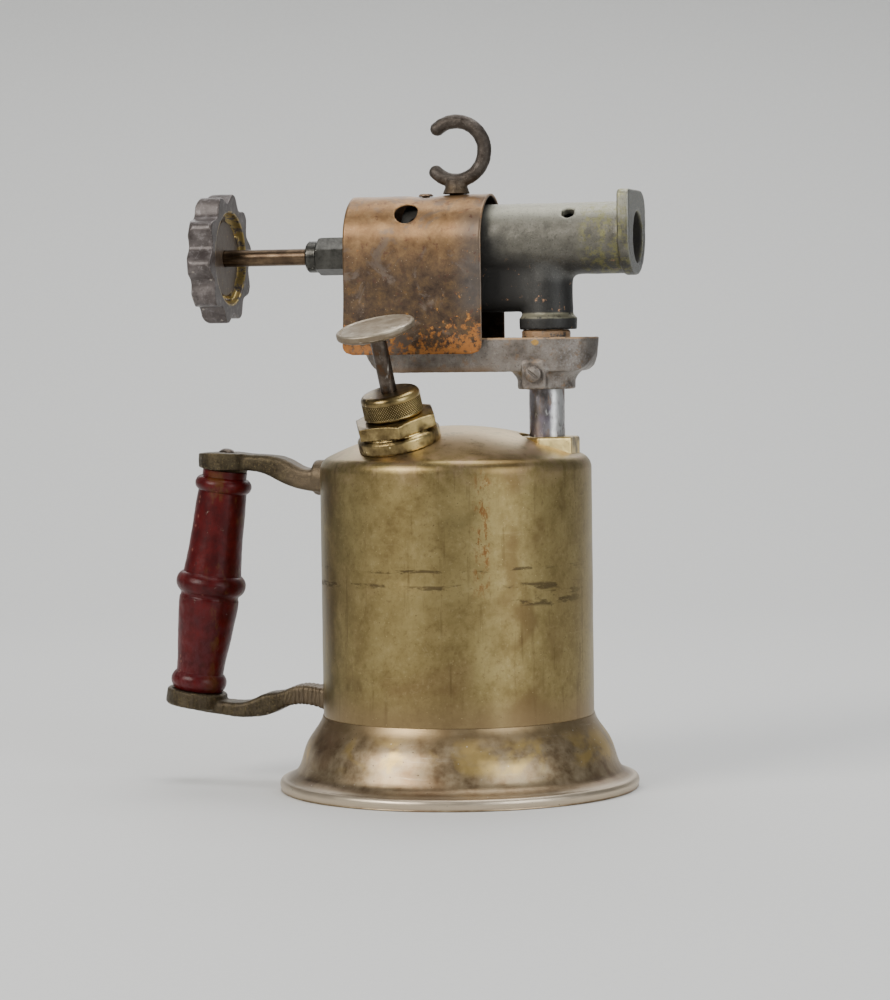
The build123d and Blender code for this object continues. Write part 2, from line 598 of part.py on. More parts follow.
# ================================================================ burner
with BuildPart() as burner_body:
    with BuildSketch(Plane.YZ.offset(mouth_x - mouth_flange_t)) as flange:
        with Locations((mouth_flange_y, mouth_flange_z)):
            Rectangle(mouth_flange_width, mouth_flange_height)
        fillet(flange.vertices().group_by(Axis.Y)[0], 15.8)
        fillet(flange.vertices().group_by(Axis.Y)[-1].sort_by(Axis.X)[-1], 8.5)
        fillet(flange.vertices().group_by(Axis.Y)[-1].sort_by(Axis.X)[0], 3.0)
    extrude(amount=mouth_flange_t)
    fillet(burner_body.edges().group_by(Axis.X)[0], 1.0)
    fillet(burner_body.edges().group_by(Axis.X)[-1], 0.5)
    turned(NECK, [(0, collar_bottom_z), (burner_collar_r - 0.2, collar_bottom_z),
                  (burner_collar_r, collar_flare_z),
                  (burner_neck_r, collar_top_z), (burner_neck_r, tube_z), (0, tube_z)])
    turned(FEED, [(0, feed_left - 6), (feed_r - 3, feed_left - 6), (feed_r, feed_left - 3), (feed_r, neck_x),
                  (0, neck_x)])
    with BuildSketch(Plane.XZ):
        with Locations(((feed_left - 6 + neck_x) / 2, (feed_z + tube_z) / 2)):
            Rectangle(neck_x - feed_left + 6, tube_z - feed_z)
    extrude(amount=web_half_width, both=True)
    rod(TUBE, tube_r, tube_left, mouth_x - 1.5)
    rod(VALVE, block_r, block_left, tube_left + 2)
    with BuildSketch(Plane.XY.offset(feed_z)):
        with Locations(((block_left + tube_left) / 2 + 3, 0)):
            Rectangle(tube_left - block_left - 6, 2 * feed_r - 1)
    extrude(amount=valve_z - feed_z)
    rod(TUBE, tube_bore_r, tube_left + 3, mouth_x - mouth_bore_length, Mode.SUBTRACT)
    rod(TUBE, mouth_bore_r, mouth_x - mouth_bore_length - 1, mouth_x + 1, Mode.SUBTRACT)
    turned(TUBE, [(0, mouth_x - 0.4), (mouth_bore_r, mouth_x - 0.4), (mouth_bore_r + 0.4, mouth_x),
                  (0, mouth_x)],
           Mode.SUBTRACT)
    for side in (1, -1):
        with BuildSketch(Plane.XZ):
            with Locations((tube_left + 8.5, tube_z + 1.5)):
                RectangleRounded(9.0, 15.0, 2.5)
        extrude(amount=side * 30, mode=Mode.SUBTRACT)
        pilot_dir = (0, side * cos(radians(45)), sin(radians(45)))
        with BuildSketch(Plane(origin=(49.0, 0, tube_z), x_dir=(1, 0, 0), z_dir=pilot_dir)):
            Circle(2.4)
        extrude(amount=30, mode=Mode.SUBTRACT)
    rod(VALVE, block_neck_r, block_neck_left, block_left + 1)
    rod(VALVE, spindle_r + spindle_clearance, block_neck_left - 1, spindle_right, Mode.SUBTRACT)
    rod(VALVE, 3.0, spindle_right - 1, jet_x + 6, Mode.SUBTRACT)
    rod(PIPE, pipe_r, collar_bottom_z - 1, pipe_top_z, Mode.SUBTRACT)
    rod(PIPE, gas_way_r, pipe_top_z - 1, feed_z, Mode.SUBTRACT)
    with BuildSketch(Plane.YZ.offset(feed_left + 4)):
        with Locations((0, feed_z)):
            Circle(gas_way_r)
    extrude(amount=pipe_x - feed_left - 4, mode=Mode.SUBTRACT)
    with BuildSketch(Plane.XY.offset(feed_z)):
        with Locations((feed_left + 6.5, 0)):
            Circle(gas_way_r)
    extrude(amount=valve_z - feed_z, mode=Mode.SUBTRACT)
    boss_top = shield_top_z - shield_sheet - 0.7
    with BuildSketch(Plane.XY.offset(tube_z + tube_r - 1.5)):
        with Locations((hook_x, 0)):
            Circle(4.6)
        with Locations((shield_screw_x, 0)):
            Circle(3.8)
    extrude(amount=boss_top - (tube_z + tube_r - 1.5))
    with BuildSketch(Plane.XY.offset(tube_z + tube_bore_r + 0.4)):
        with Locations((hook_x, 0)):
            Circle(2.6)
        with Locations((shield_screw_x, 0)):
            Circle(1.6)
    extrude(amount=20, mode=Mode.SUBTRACT)
save(burner_body, "burner_body")

with BuildPart() as jet_nipple:
    turned(VALVE, [(3.0, spindle_right + 0.5), (3.0, jet_x + 3.0), (4.0, jet_x + 3.0), (4.0, jet_x + 5.5),
                   (2.6, jet_x + 6.5), (0.5, jet_x + 6.5), (0.5, jet_x + 1.0), (1.7, jet_x - 1.4),
                   (2.1, spindle_right + 0.5)])
save(jet_nipple, "jet_nipple")

with BuildPart() as needle_tip:
    turned(VALVE, [(0, spindle_right + 0.1), (1.5, spindle_right + 0.1), (1.5, jet_x - 1.4),
                   (0.25, jet_x + 1.2),
                   (0, jet_x + 1.2)])
save(needle_tip, "needle_tip")

with BuildPart() as valve_spindle:
    turned(VALVE, [(0, wheel_left - 0.4), (2.4, wheel_left - 0.4), (2.4, wheel_left + 3.9),
                   (spindle_r, wheel_left + 3.9),
                   (spindle_r, spindle_right - 0.8), (spindle_r - 0.8, spindle_right), (0, spindle_right)])
save(valve_spindle, "valve_spindle")

packing_nut_right = block_left - 0.4
packing_nut_left = -60.0
with BuildPart() as packing_nut:
    with BuildSketch(Plane.YZ.offset(packing_nut_right)):
        with Locations((0, valve_z)):
            RegularPolygon(radius=6.7, side_count=6, major_radius=False, rotation=40.4)
    extrude(amount=-13.0)
    turned(VALVE, [(0, -60), (6.3, -60), (7.75, -53.8), (7.75, packing_nut_right - 1.4),
                   (6.4, packing_nut_right),
                   (0, packing_nut_right)], Mode.INTERSECT)
    turned(VALVE, [(0, packing_nut_left), (5.6, packing_nut_left), (6.4, packing_nut_left + 0.8),
                   (6.4, -55.2),
                   (0, -55.2)])
    rod(VALVE, block_neck_r, -55.0, packing_nut_right + 1, Mode.SUBTRACT)
    rod(VALVE, spindle_r + spindle_clearance, packing_nut_left - 1, -54.0, Mode.SUBTRACT)
save(packing_nut, "packing_nut")

with BuildPart() as packing_ring:
    ring(VALVE, spindle_r + 0.08, block_neck_r - 0.1, -54.9, block_neck_left - 0.1)
save(packing_ring, "packing_ring")

with BuildPart() as handwheel:
    wave_middle = (wheel_lobe_r + wheel_notch_r) / 2
    wave_depth = (wheel_lobe_r - wheel_notch_r) / 2
    wave_points = []
    for step in range(4 * wheel_lobes):
        bearing = 180 - wheel_lobe_start + step * 90 / wheel_lobes
        wave_r = wave_middle + wave_depth * cos(radians(90 * step))
        wave_points.append(Vector(0, valve_z) + polar(wave_r, bearing))
    with BuildSketch(Plane.YZ.offset(wheel_left)) as rim:
        with BuildLine():
            Spline(*wave_points, periodic=True)
        make_face()
    extrude(amount=wheel_right - wheel_left)
    rod(VALVE, wheel_bore_r, wheel_left - 1, wheel_right + 1, Mode.SUBTRACT)
    turned(VALVE, [(0, wheel_left), (wheel_lobe_r - 2.0, wheel_left), (wheel_lobe_r - 0.6, wheel_left + 0.8),
                   (wheel_lobe_r + 0.3, wheel_left + 3.0), (wheel_lobe_r + 0.3, wheel_right - 0.5),
                   (wheel_lobe_r - 0.5, wheel_right), (0, wheel_right)], Mode.INTERSECT)
    rod(VALVE, wheel_hub_r, -99.2, -95.0)
    with BuildSketch(Plane.YZ.offset(-98.6)):
        with Locations((0, valve_z)):
            with PolarLocations((wheel_hub_r + wheel_bore_r) / 2, 5, start_angle=20):
                Rectangle(wheel_bore_r - wheel_hub_r + 2.4, 6.0)
    extrude(amount=3.0)
    rod(VALVE, spindle_r, -99.1, wheel_right + 1, Mode.SUBTRACT)
    rod(VALVE, 2.4, wheel_left - 1, -99.0, Mode.SUBTRACT)
save(handwheel, "handwheel")

with BuildPart() as wheel_nut:
    with BuildSketch(Plane.YZ.offset(-99.2)):
        with Locations((0, valve_z)):
            RegularPolygon(radius=4.4, side_count=6, major_radius=False)
    extrude(amount=-3.2)
    rod(VALVE, 2.4, wheel_left - 2, -90, Mode.SUBTRACT)
save(wheel_nut, "wheel_nut")

# ================================================================ heat shield and hook
shield_centre_z = shield_top_z - shield_r
shield_middle_x = (shield_left + shield_right) / 2
shield_length = shield_right - shield_left

with BuildPart() as heat_shield:
    for radius, bottom_z, mode in ((shield_r, shield_bottom_z, Mode.ADD),
                                   (shield_r - shield_sheet, shield_bottom_z - 1, Mode.SUBTRACT)):
        with BuildSketch(Plane.YZ.offset(shield_left)) as profile:
            with BuildLine():
                Line((-radius, bottom_z), (-radius, shield_centre_z))
                ThreePointArc((-radius, shield_centre_z), (0, shield_centre_z + radius),
                              (radius, shield_centre_z))
                Line((radius, shield_centre_z), (radius, bottom_z))
                Line((radius, bottom_z), (-radius, bottom_z))
            make_face()
        extrude(amount=shield_length, mode=mode)
    with BuildSketch(Plane.XZ):
        with Locations((shield_middle_x, (shield_top_z + shield_bottom_z) / 2)):
            Rectangle(shield_length + 2, shield_top_z - shield_bottom_z)
        with Locations((shield_middle_x, (shield_top_z + shield_bottom_z) / 2 + 10)):
            RectangleRounded(shield_length, shield_top_z - shield_bottom_z + 20, 4.0, mode=Mode.SUBTRACT)
    extrude(amount=shield_r + 1, both=True, mode=Mode.SUBTRACT)
    for hole_x, side, lift in ((-15.0, -1, 38), (-30.0, 1, 58)):
        hole_dir = (0, side * cos(radians(lift)), sin(radians(lift)))
        with BuildSketch(Plane(origin=(hole_x, 0, shield_centre_z), x_dir=(1, 0, 0), z_dir=hole_dir)):
            Circle(4.75)
        extrude(amount=shield_r + 2, mode=Mode.SUBTRACT)
    with BuildSketch(Plane.XY.offset(shield_centre_z)):
        with Locations((hook_x, 0)):
            Circle(2.7)
        with Locations((shield_screw_x, 0)):
            Circle(1.7)
    extrude(amount=shield_r + 2, mode=Mode.SUBTRACT)
save(heat_shield, "heat_shield")

with BuildPart() as shield_screw:
    with BuildSketch(Plane.XY.offset(shield_top_z)):
        with Locations((shield_screw_x, 0)):
            Circle(3.0)
    extrude(amount=1.1)
    chamfer(shield_screw.faces().sort_by(Axis.Z)[-1].edges(), 0.6)
    with BuildSketch(Plane.XY.offset(shield_top_z + 1.1)):
        with Locations((shield_screw_x, 0)):
            Rectangle(8, 0.9, rotation=25)
    extrude(amount=-0.6, mode=Mode.SUBTRACT)
    with BuildSketch(Plane.XY.offset(shield_top_z + 0.4)):
        with Locations((shield_screw_x, 0)):
            Circle(1.55)
    extrude(amount=-6.0)
save(shield_screw, "shield_screw")

with BuildPart() as iron_hook:
    hook_centre = Vector(hook_x, 0, hook_z)
    upper_tip = radians(130)
    tip_dir = Vector(cos(upper_tip), 0, sin(upper_tip))
    with BuildSketch(Plane(origin=hook_centre + tip_dir * hook_r, x_dir=tip_dir,
                           z_dir=tip_dir.cross(Vector(0, 1, 0)))):
        Circle(hook_bar_r)
    revolve(axis=Axis(hook_centre, (0, 1, 0)), revolution_arc=265)
    stem = (turning_plane((hook_x, 0, 0), (0, 0, 1), (1, 0, 0)), Axis((hook_x, 0, 0), (0, 0, 1)))
    hook_foot_z = shield_top_z
    turned(stem, [(0, hook_foot_z), (5.6, hook_foot_z), (5.0, hook_foot_z + 1.6), (4.4, hook_foot_z + 3.0),
                  (4.4, hook_foot_z + 6.0), (3.4, hook_z - hook_r), (0, hook_z - hook_r)])
    turned(stem, [(0, tube_z + tube_bore_r + 1.0), (2.55, tube_z + tube_bore_r + 1.0), (2.55, hook_foot_z),
                  (0, hook_foot_z)])
    for tip in (130, -135):
        place = hook_centre + Vector(cos(radians(tip)), 0, sin(radians(tip))) * hook_r
        with Locations(place):
            Sphere(hook_bar_r)
save(iron_hook, "iron_hook")
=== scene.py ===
"""Looks of the gasoline blow torch: aged brass, rough castings, heat-tinted sheet and worn red paint."""
import json
import math
from contextlib import contextmanager

import bmesh
import bpy
import numpy as np
from mathutils import Matrix, Vector, noise


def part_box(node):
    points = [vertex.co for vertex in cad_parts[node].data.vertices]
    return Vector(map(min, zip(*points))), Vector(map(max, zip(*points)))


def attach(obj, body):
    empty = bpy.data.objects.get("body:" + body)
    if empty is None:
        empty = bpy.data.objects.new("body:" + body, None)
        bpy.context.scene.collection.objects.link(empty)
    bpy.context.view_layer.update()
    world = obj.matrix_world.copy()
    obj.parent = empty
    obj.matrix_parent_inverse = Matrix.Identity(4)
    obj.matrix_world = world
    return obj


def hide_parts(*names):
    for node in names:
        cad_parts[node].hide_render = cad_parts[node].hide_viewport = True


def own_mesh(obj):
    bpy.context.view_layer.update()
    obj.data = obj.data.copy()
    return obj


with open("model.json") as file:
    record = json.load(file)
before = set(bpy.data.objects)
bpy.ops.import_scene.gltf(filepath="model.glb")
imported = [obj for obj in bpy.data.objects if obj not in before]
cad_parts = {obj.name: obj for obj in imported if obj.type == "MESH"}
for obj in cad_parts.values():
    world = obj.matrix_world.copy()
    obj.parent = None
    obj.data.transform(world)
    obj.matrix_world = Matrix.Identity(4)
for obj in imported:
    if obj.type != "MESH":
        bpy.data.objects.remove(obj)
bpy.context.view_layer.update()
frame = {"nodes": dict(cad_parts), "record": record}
MM = 0.001
joints = {joint["name"]: joint for joint in frame["record"]["behaviour"]["joints"]}
mounts = {mount["name"]: mount for mount in frame["record"]["mounts"]}
slots = {part["node"]: part["material_slot"] for part in frame["record"]["subparts"]}
body_of = {node: body for body, nodes in frame["record"]["behaviour"]["bodies"].items() for node in nodes}
tube_z = round(mounts["burner_mouth"]["pos_m"][2] / MM, 3)
wheel_axis_z = joints["valve_turn"]["pos_m"][2] / MM


# ---------------------------------------------------------------- material helper
class Surface:
    """Builds one procedural material, a coat of colour upon another. Sizes are in millimetres, in the torch's
    own frame. A share is a value from 0 to 1 over the surface."""

    def __init__(self, name, metallic, roughness):
        self.material = bpy.data.materials.new(name)
        self.material.use_nodes = True
        self.tree = self.material.node_tree
        self.tree.nodes.clear()
        output = self.tree.nodes.new("ShaderNodeOutputMaterial")
        self.shader = self.tree.nodes.new("ShaderNodeBsdfPrincipled")
        self.tree.links.new(self.shader.outputs["BSDF"], output.inputs["Surface"])
        self.shader.inputs["Metallic"].default_value = metallic
        self.shader.inputs["Roughness"].default_value = roughness
        coordinates = self.tree.nodes.new("ShaderNodeTexCoord")
        self.place = self.scaled(coordinates.outputs["Object"], 1 / MM)
        self.normal = None
        self.colour = None

    def node(self, kind, **settings):
        made = self.tree.nodes.new("ShaderNode" + kind)
        for key, value in settings.items():
            setattr(made, key, value)
        return made

    def feed(self, socket, value):
        if isinstance(value, bpy.types.NodeSocket):
            self.tree.links.new(value, socket)
        elif isinstance(value, tuple) and len(value) == 3 and socket.type == "RGBA":
            socket.default_value = (*value, 1.0)
        else:
            socket.default_value = value

    def scaled(self, vector, factor):
        made = self.node("VectorMath", operation="SCALE")
        self.feed(made.inputs[0], vector)
        made.inputs["Scale"].default_value = factor
        return made.outputs[0]

    def stretched(self, factors, shift=(0, 0, 0)):
        """The place with each axis multiplied, so that a pattern is drawn out along the small ones."""
        made = self.node("Mapping")
        self.feed(made.inputs["Vector"], self.place)
        made.inputs["Scale"].default_value = factors
        made.inputs["Location"].default_value = shift
        return made.outputs[0]

    def noise(self, size, detail=4.0, rough=0.6, warp=0.0, stretch=(1, 1, 1), shift=(0, 0, 0)):
        made = self.node("TexNoise")
        self.feed(made.inputs["Vector"], self.stretched(stretch, shift))
        made.inputs["Scale"].default_value = 1 / size
        made.inputs["Detail"].default_value = detail
        made.inputs["Roughness"].default_value = rough
        made.inputs["Distortion"].default_value = warp
        return made.outputs["Fac"]

    def cells(self, size, feature="F1", shift=(0, 0, 0)):
        made = self.node("TexVoronoi", feature=feature)
        self.feed(made.inputs["Vector"], self.stretched((1, 1, 1), shift))
        made.inputs["Scale"].default_value = 1 / size
        return made.outputs["Distance"]

    def axes(self):
        made = self.node("SeparateXYZ")
        self.feed(made.inputs[0], self.place)
        return made.outputs

    def axis(self, name):
        return self.axes()[name]

    def maths(self, operation, a, b=0.0):
        made = self.node("Math", operation=operation)
        self.feed(made.inputs[0], a)
        self.feed(made.inputs[1], b)
        return made.outputs[0]

    def product(self, first, *others):
        for other in others:
            first = self.maths("MULTIPLY", first, other)
        return first

    def most(self, first, *others):
        """The largest of the values."""
        for other in others:
            first = self.maths("MAXIMUM", first, other)
        return first

    def linear(self, value, slope, base):
        return self.maths("ADD", self.product(value, slope), base)

    def wavy(self, value, waves, reach):
        """The value moved up and down by a noise, half the reach each way."""
        return self.maths("ADD", value, self.product(self.maths("SUBTRACT", waves, 0.5), reach))

    def distance(self, across, up):
        """How far a point is from an axis that it is across and up from."""
        return self.maths("SQRT", self.maths("ADD", self.product(across, across), self.product(up, up)))

    def fade(self, value, low, high):
        """0 below low, 1 above high, smooth between. low may be the larger one."""
        made = self.node("MapRange", interpolation_type="SMOOTHSTEP")
        self.feed(made.inputs["Value"], value)
        reverse = low > high
        made.inputs["From Min"].default_value = min(low, high)
        made.inputs["From Max"].default_value = max(low, high)
        made.inputs["To Min"].default_value = 1.0 if reverse else 0.0
        made.inputs["To Max"].default_value = 0.0 if reverse else 1.0
        return made.outputs["Result"]

    def band(self, value, start, end, soft):
        """1 between start and end, falling to 0 over soft on each side."""
        rise = self.fade(value, start - soft, start)
        fall = self.fade(value, end + soft, end)
        return self.product(rise, fall)

    def mix(self, a, b, factor):
        made = self.node("Mix", data_type="RGBA")
        self.feed(made.inputs["Factor"], factor)
        self.feed(made.inputs[6], a)
        self.feed(made.inputs[7], b)
        return made.outputs[2]

    def coat(self, colour, *shares):
        """Lays a colour over what is there so far, by the product of the shares."""
        self.colour = self.mix(self.colour, colour, self.product(*shares))

    def ramp(self, value, *stops):
        made = self.node("ValToRGB")
        self.feed(made.inputs["Fac"], value)
        elements = made.color_ramp.elements
        while len(elements) < len(stops):
            elements.new(0.5)
        for element, (position, colour) in zip(elements, stops):
            element.position = position
            element.color = (*colour, 1.0)
        return made.outputs["Color"]

    def worn_edges(self, low=0.52, high=0.62):
        """1 on the sharp convex edges of a finely divided mesh."""
        return self.fade(self.node("NewGeometry").outputs["Pointiness"], low, high)

    def hollows(self, low=0.49, high=0.42):
        """1 in the sharp concave corners of a finely divided mesh."""
        return self.worn_edges(low, high)

    def bump(self, height, depth, strength=1.0):
        made = self.node("Bump")
        made.inputs["Strength"].default_value = strength
        made.inputs["Distance"].default_value = depth * MM
        self.feed(made.inputs["Height"], height)
        if self.normal is not None:
            self.feed(made.inputs["Normal"], self.normal)
        self.normal = made.outputs["Normal"]

    def bumps(self, *layers):
        """Lays bumps one upon another. A layer is a height, a depth in millimetres and a strength."""
        for layer in layers:
            self.bump(*layer)

    def finish(self, roughness=None, metallic=None):
        fed = {"Base Color": self.colour, "Roughness": roughness, "Metallic": metallic, "Normal": self.normal}
        for name, value in fed.items():
            if value is not None:
                self.feed(self.shader.inputs[name], value)
        return self.material


# ---------------------------------------------------------------- mesh helpers
def new_piece(node, kind, mesh):
    """A piece that stands for a CAD node, on its body and in its finish."""
    piece = bpy.data.objects.new(node + "." + kind, mesh)
    bpy.context.scene.collection.objects.link(piece)
    mesh.materials.clear()
    mesh.materials.append(finishes[slots[node]])
    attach(piece, body_of[node])
    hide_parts(node)
    return piece


@contextmanager
def edited(mesh):
    """The mesh as a bmesh, written back at the end."""
    work = bmesh.new()
    work.from_mesh(mesh)
    yield work
    work.to_mesh(mesh)
    work.free()


def apply_modifiers(mesh, add_modifiers):
    """A new mesh: the given one with the modifiers that add_modifiers puts on it."""
    holder = bpy.data.objects.new("holder", mesh)
    bpy.context.scene.collection.objects.link(holder)
    add_modifiers(holder)
    graph = bpy.context.evaluated_depsgraph_get()
    made = bpy.data.meshes.new_from_object(holder.evaluated_get(graph))
    bpy.data.objects.remove(holder)
    return made


def cad_mesh(node):
    """A welded copy of a CAD node's mesh."""
    mesh = frame["nodes"][node].data.copy()
    with edited(mesh) as work:
        bmesh.ops.remove_doubles(work, verts=work.verts, dist=0.002 * MM)
    mesh.materials.clear()
    return mesh


def recast(node, voxel, smooth):
    """The node's shape with softly rounded edges and even small faces, as a casting or forging has."""
    def modifiers(holder):
        remesh = holder.modifiers.new("even", "REMESH")
        remesh.mode = "VOXEL"
        remesh.voxel_size = voxel * MM
        rounded = holder.modifiers.new("rounded", "SMOOTH")
        rounded.iterations = smooth
        rounded.factor = 0.5
    mesh = apply_modifiers(cad_mesh(node), modifiers)
    mesh.shade_smooth()
    return mesh


def read_vectors(items, key):
    vectors = np.empty(len(items) * 3, np.float32)
    items.foreach_get(key, vectors)
    return vectors.reshape(-1, 3).astype(float)


def read_points(mesh):
    return read_vectors(mesh.vertices, "co")


def read_normals(mesh):
    return read_vectors(mesh.vertex_normals, "vector")


def write_points(mesh, points):
    mesh.vertices.foreach_set("co", points.astype(np.float32).ravel())
    mesh.update()


def soft_noise(points, size, octaves, seed):
    """Smooth noise from -1 to 1 at each point. size is in millimetres."""
    shift = Vector((seed * 7.3, seed * 3.1, seed * 5.7))
    values = np.empty(len(points))
    for i, point in enumerate(points):
        values[i] = noise.fractal(Vector(point) / (size * MM) + shift, 0.6, 2.0, octaves)
    return values


def roughen(mesh, depth, size, octaves, seed):
    """Cuts the surface unevenly inward along its normals, by depth in millimetres at most, so that it stays
    within the CAD shape."""
    points = read_points(mesh)
    values = (np.clip(soft_noise(points, size, octaves, seed), -1, 1) - 1) / 2
    write_points(mesh, points + read_normals(mesh) * (values * depth * MM)[:, None])


def lathe(outline, segments, close):
    """A mesh turned about Z from (radius, height) points in metres, closed end to end if asked."""
    radii, heights = np.array(outline, float).T
    turns = np.linspace(0, 2 * math.pi, segments, endpoint=False)
    rings = [np.stack([radii * math.cos(turn), radii * math.sin(turn), heights], 1) for turn in turns]
    count = len(outline)
    faces = []
    for s in range(segments):
        following = (s + 1) % segments
        for i in range(count if close else count - 1):
            j = (i + 1) % count
            faces.append((s * count + i, following * count + i, following * count + j, s * count + j))
    mesh = bpy.data.meshes.new("lathe")
    mesh.from_pydata(np.concatenate(rings).tolist(), [], faces)
    mesh.update()
    mesh.shade_smooth()
    return mesh


# ---------------------------------------------------------------- turned parts
def axis_place(origin, direction):
    """The place of a turned part: its own Z lies along direction, from origin (both in metres)."""
    turn = Vector((0, 0, 1)).rotation_difference(Vector(direction)).to_matrix().to_4x4()
    return Matrix.Translation(Vector(origin)) @ turn


def section(node, place, angle):
    """Ordered (radius, height) points where a half plane through the part's axis cuts the CAD node, and
    whether they close on themselves."""
    least_step = 0.004 * MM
    work = bmesh.new()
    work.from_mesh(cad_mesh(node))
    bmesh.ops.transform(work, matrix=place.inverted(), verts=work.verts)
    across = Vector((math.cos(angle), math.sin(angle), 0))
    normal = Vector((-math.sin(angle), math.cos(angle), 0))
    everything = work.verts[:] + work.edges[:] + work.faces[:]
    cut = bmesh.ops.bisect_plane(work, geom=everything, plane_co=(0, 0, 0), plane_no=normal, dist=1e-8)
    links = {}
    for part in cut["geom_cut"]:
        if isinstance(part, bmesh.types.BMEdge) and all(v.co.dot(across) > -1e-6 for v in part.verts):
            a, b = part.verts
            links.setdefault(a, []).append(b)
            links.setdefault(b, []).append(a)
    best, seen = [], set()
    ends = [v for v in links if len(links[v]) == 1] + list(links)
    for start in ends:
        if start in seen:
            continue
        chain = [start]
        seen.add(start)
        while True:
            following = [v for v in links[chain[-1]] if v not in seen]
            if not following:
                break
            chain.append(following[0])
            seen.add(following[0])
        if len(chain) > len(best):
            best = chain
    closed = len(best) > 2 and best[0] in links[best[-1]]
    outline = [(max(0.0, v.co.dot(across)), v.co.z) for v in best]
    work.free()
    if not closed:
        outline = [(0.0, outline[0][1])] * (outline[0][0] > 1e-5) + outline
        outline = outline + [(0.0, outline[-1][1])] * (outline[-1][0] > 1e-5)
    tidy = [outline[0]]
    for point in outline[1:]:
        if math.dist(point, tidy[-1]) > least_step:
            tidy.append(point)
    if closed and math.dist(tidy[0], tidy[-1]) <= least_step:
        tidy.pop()
    return tidy, closed


def softened(outline, closed, radius, spacing):
    """The outline with its corners rounded and its long spans divided. Sizes are in millimetres."""
    least_corner = 25
    points = [Vector(p) for p in outline]
    count = len(points)
    rounded = []
    for i, here in enumerate(points):
        before, after = points[i - 1], points[(i + 1) % count]
        if not closed and i in (0, count - 1):
            rounded.append(here)
            continue
        back, on = before - here, after - here
        if back.length < 1e-9 or on.length < 1e-9 or math.degrees((-back).angle(on)) < least_corner:
            rounded.append(here)
            continue
        reach = min(radius * MM, 0.45 * back.length, 0.45 * on.length)
        first, last = here + back.normalized() * reach, here + on.normalized() * reach
        for t in (0.0, 0.25, 0.5, 0.75, 1.0):
            rounded.append(first.lerp(here, t).lerp(here.lerp(last, t), t))
    divided = []
    count = len(rounded)
    for i in range(count if closed else count - 1):
        a, b = rounded[i], rounded[(i + 1) % count]
        steps = max(1, math.ceil((b - a).length / (spacing * MM)))
        divided.extend(a.lerp(b, s / steps) for s in range(steps))
    if not closed:
        divided.append(rounded[-1])
    return np.array([(p.x, p.y) for p in divided])


def turned_mesh(node, place, segments, radius=0.25, spacing=0.8, angle=0.4, shape=None):
    """A finely divided copy of a turned CAD node. shape(radius, turn, height) in millimetres and radians
    gives the new radius and height of every point."""
    outline, closed = section(node, place, angle)
    outline = softened(outline, closed, radius, spacing)
    mesh = lathe(outline, segments, closed)
    points = read_points(mesh)
    if shape:
        radii = np.hypot(points[:, 0], points[:, 1]) / MM
        turns = np.arctan2(points[:, 1], points[:, 0])
        radii, heights = shape(radii, turns, points[:, 2] / MM)
        points = np.stack([radii * np.cos(turns), radii * np.sin(turns), heights], 1) * MM
        write_points(mesh, points)
    mesh.transform(place)
    with edited(mesh) as work:
        bmesh.ops.remove_doubles(work, verts=work.verts, dist=1e-7)
        bmesh.ops.recalc_face_normals(work, faces=work.faces)
    mesh.shade_smooth()
    return mesh


def ring_noise(radii, turns, heights, size, seed, octaves=2):
    """soft_noise at the points of a turned part."""
    points = np.stack([radii * np.cos(turns), radii * np.sin(turns), heights], 1) * MM
    return soft_noise(points, size, octaves, seed)


def dented(depth, turns, heights, radius, *places):
    """The depth with smooth dents added, at each point of a turned part of about this radius. A place is a
    turn in degrees, then a height, width, tallness and depth in millimetres."""
    for turn, height, width, tall, deep in places:
        around = (turns - math.radians(turn) + math.pi) % (2 * math.pi) - math.pi
        depth = depth + deep * np.exp(-(around * radius / width) ** 2 - ((heights - height) / tall) ** 2)
    return depth


def cylinder(origin, direction, radius, length, sides=48):
    """A cylinder that starts at origin and runs along direction. Its sizes and place are in millimetres."""
    place = axis_place(Vector(origin) * MM, direction) @ Matrix.Translation((0, 0, length * MM / 2))
    mesh = bpy.data.meshes.new("cylinder")
    with edited(mesh) as work:
        bmesh.ops.create_cone(work, cap_ends=True, segments=sides, radius1=radius * MM, radius2=radius * MM,
                              depth=length * MM)
        bmesh.ops.transform(work, matrix=place, verts=work.verts)
    return mesh


def cut(mesh, *cutters):
    """The mesh with each cutter's mesh taken out of it."""
    holders = []
    for cutter in cutters:
        holder = bpy.data.objects.new("cutter", cutter)
        bpy.context.scene.collection.objects.link(holder)
        holders.append(holder)

    def modifiers(target):
        for holder in holders:
            boolean = target.modifiers.new("cut", "BOOLEAN")
            boolean.operation = "DIFFERENCE"
            boolean.solver = "EXACT"
            boolean.object = holder
    made = apply_modifiers(mesh, modifiers)
    for holder in holders:
        bpy.data.objects.remove(holder)
    made.shade_smooth()
    return made


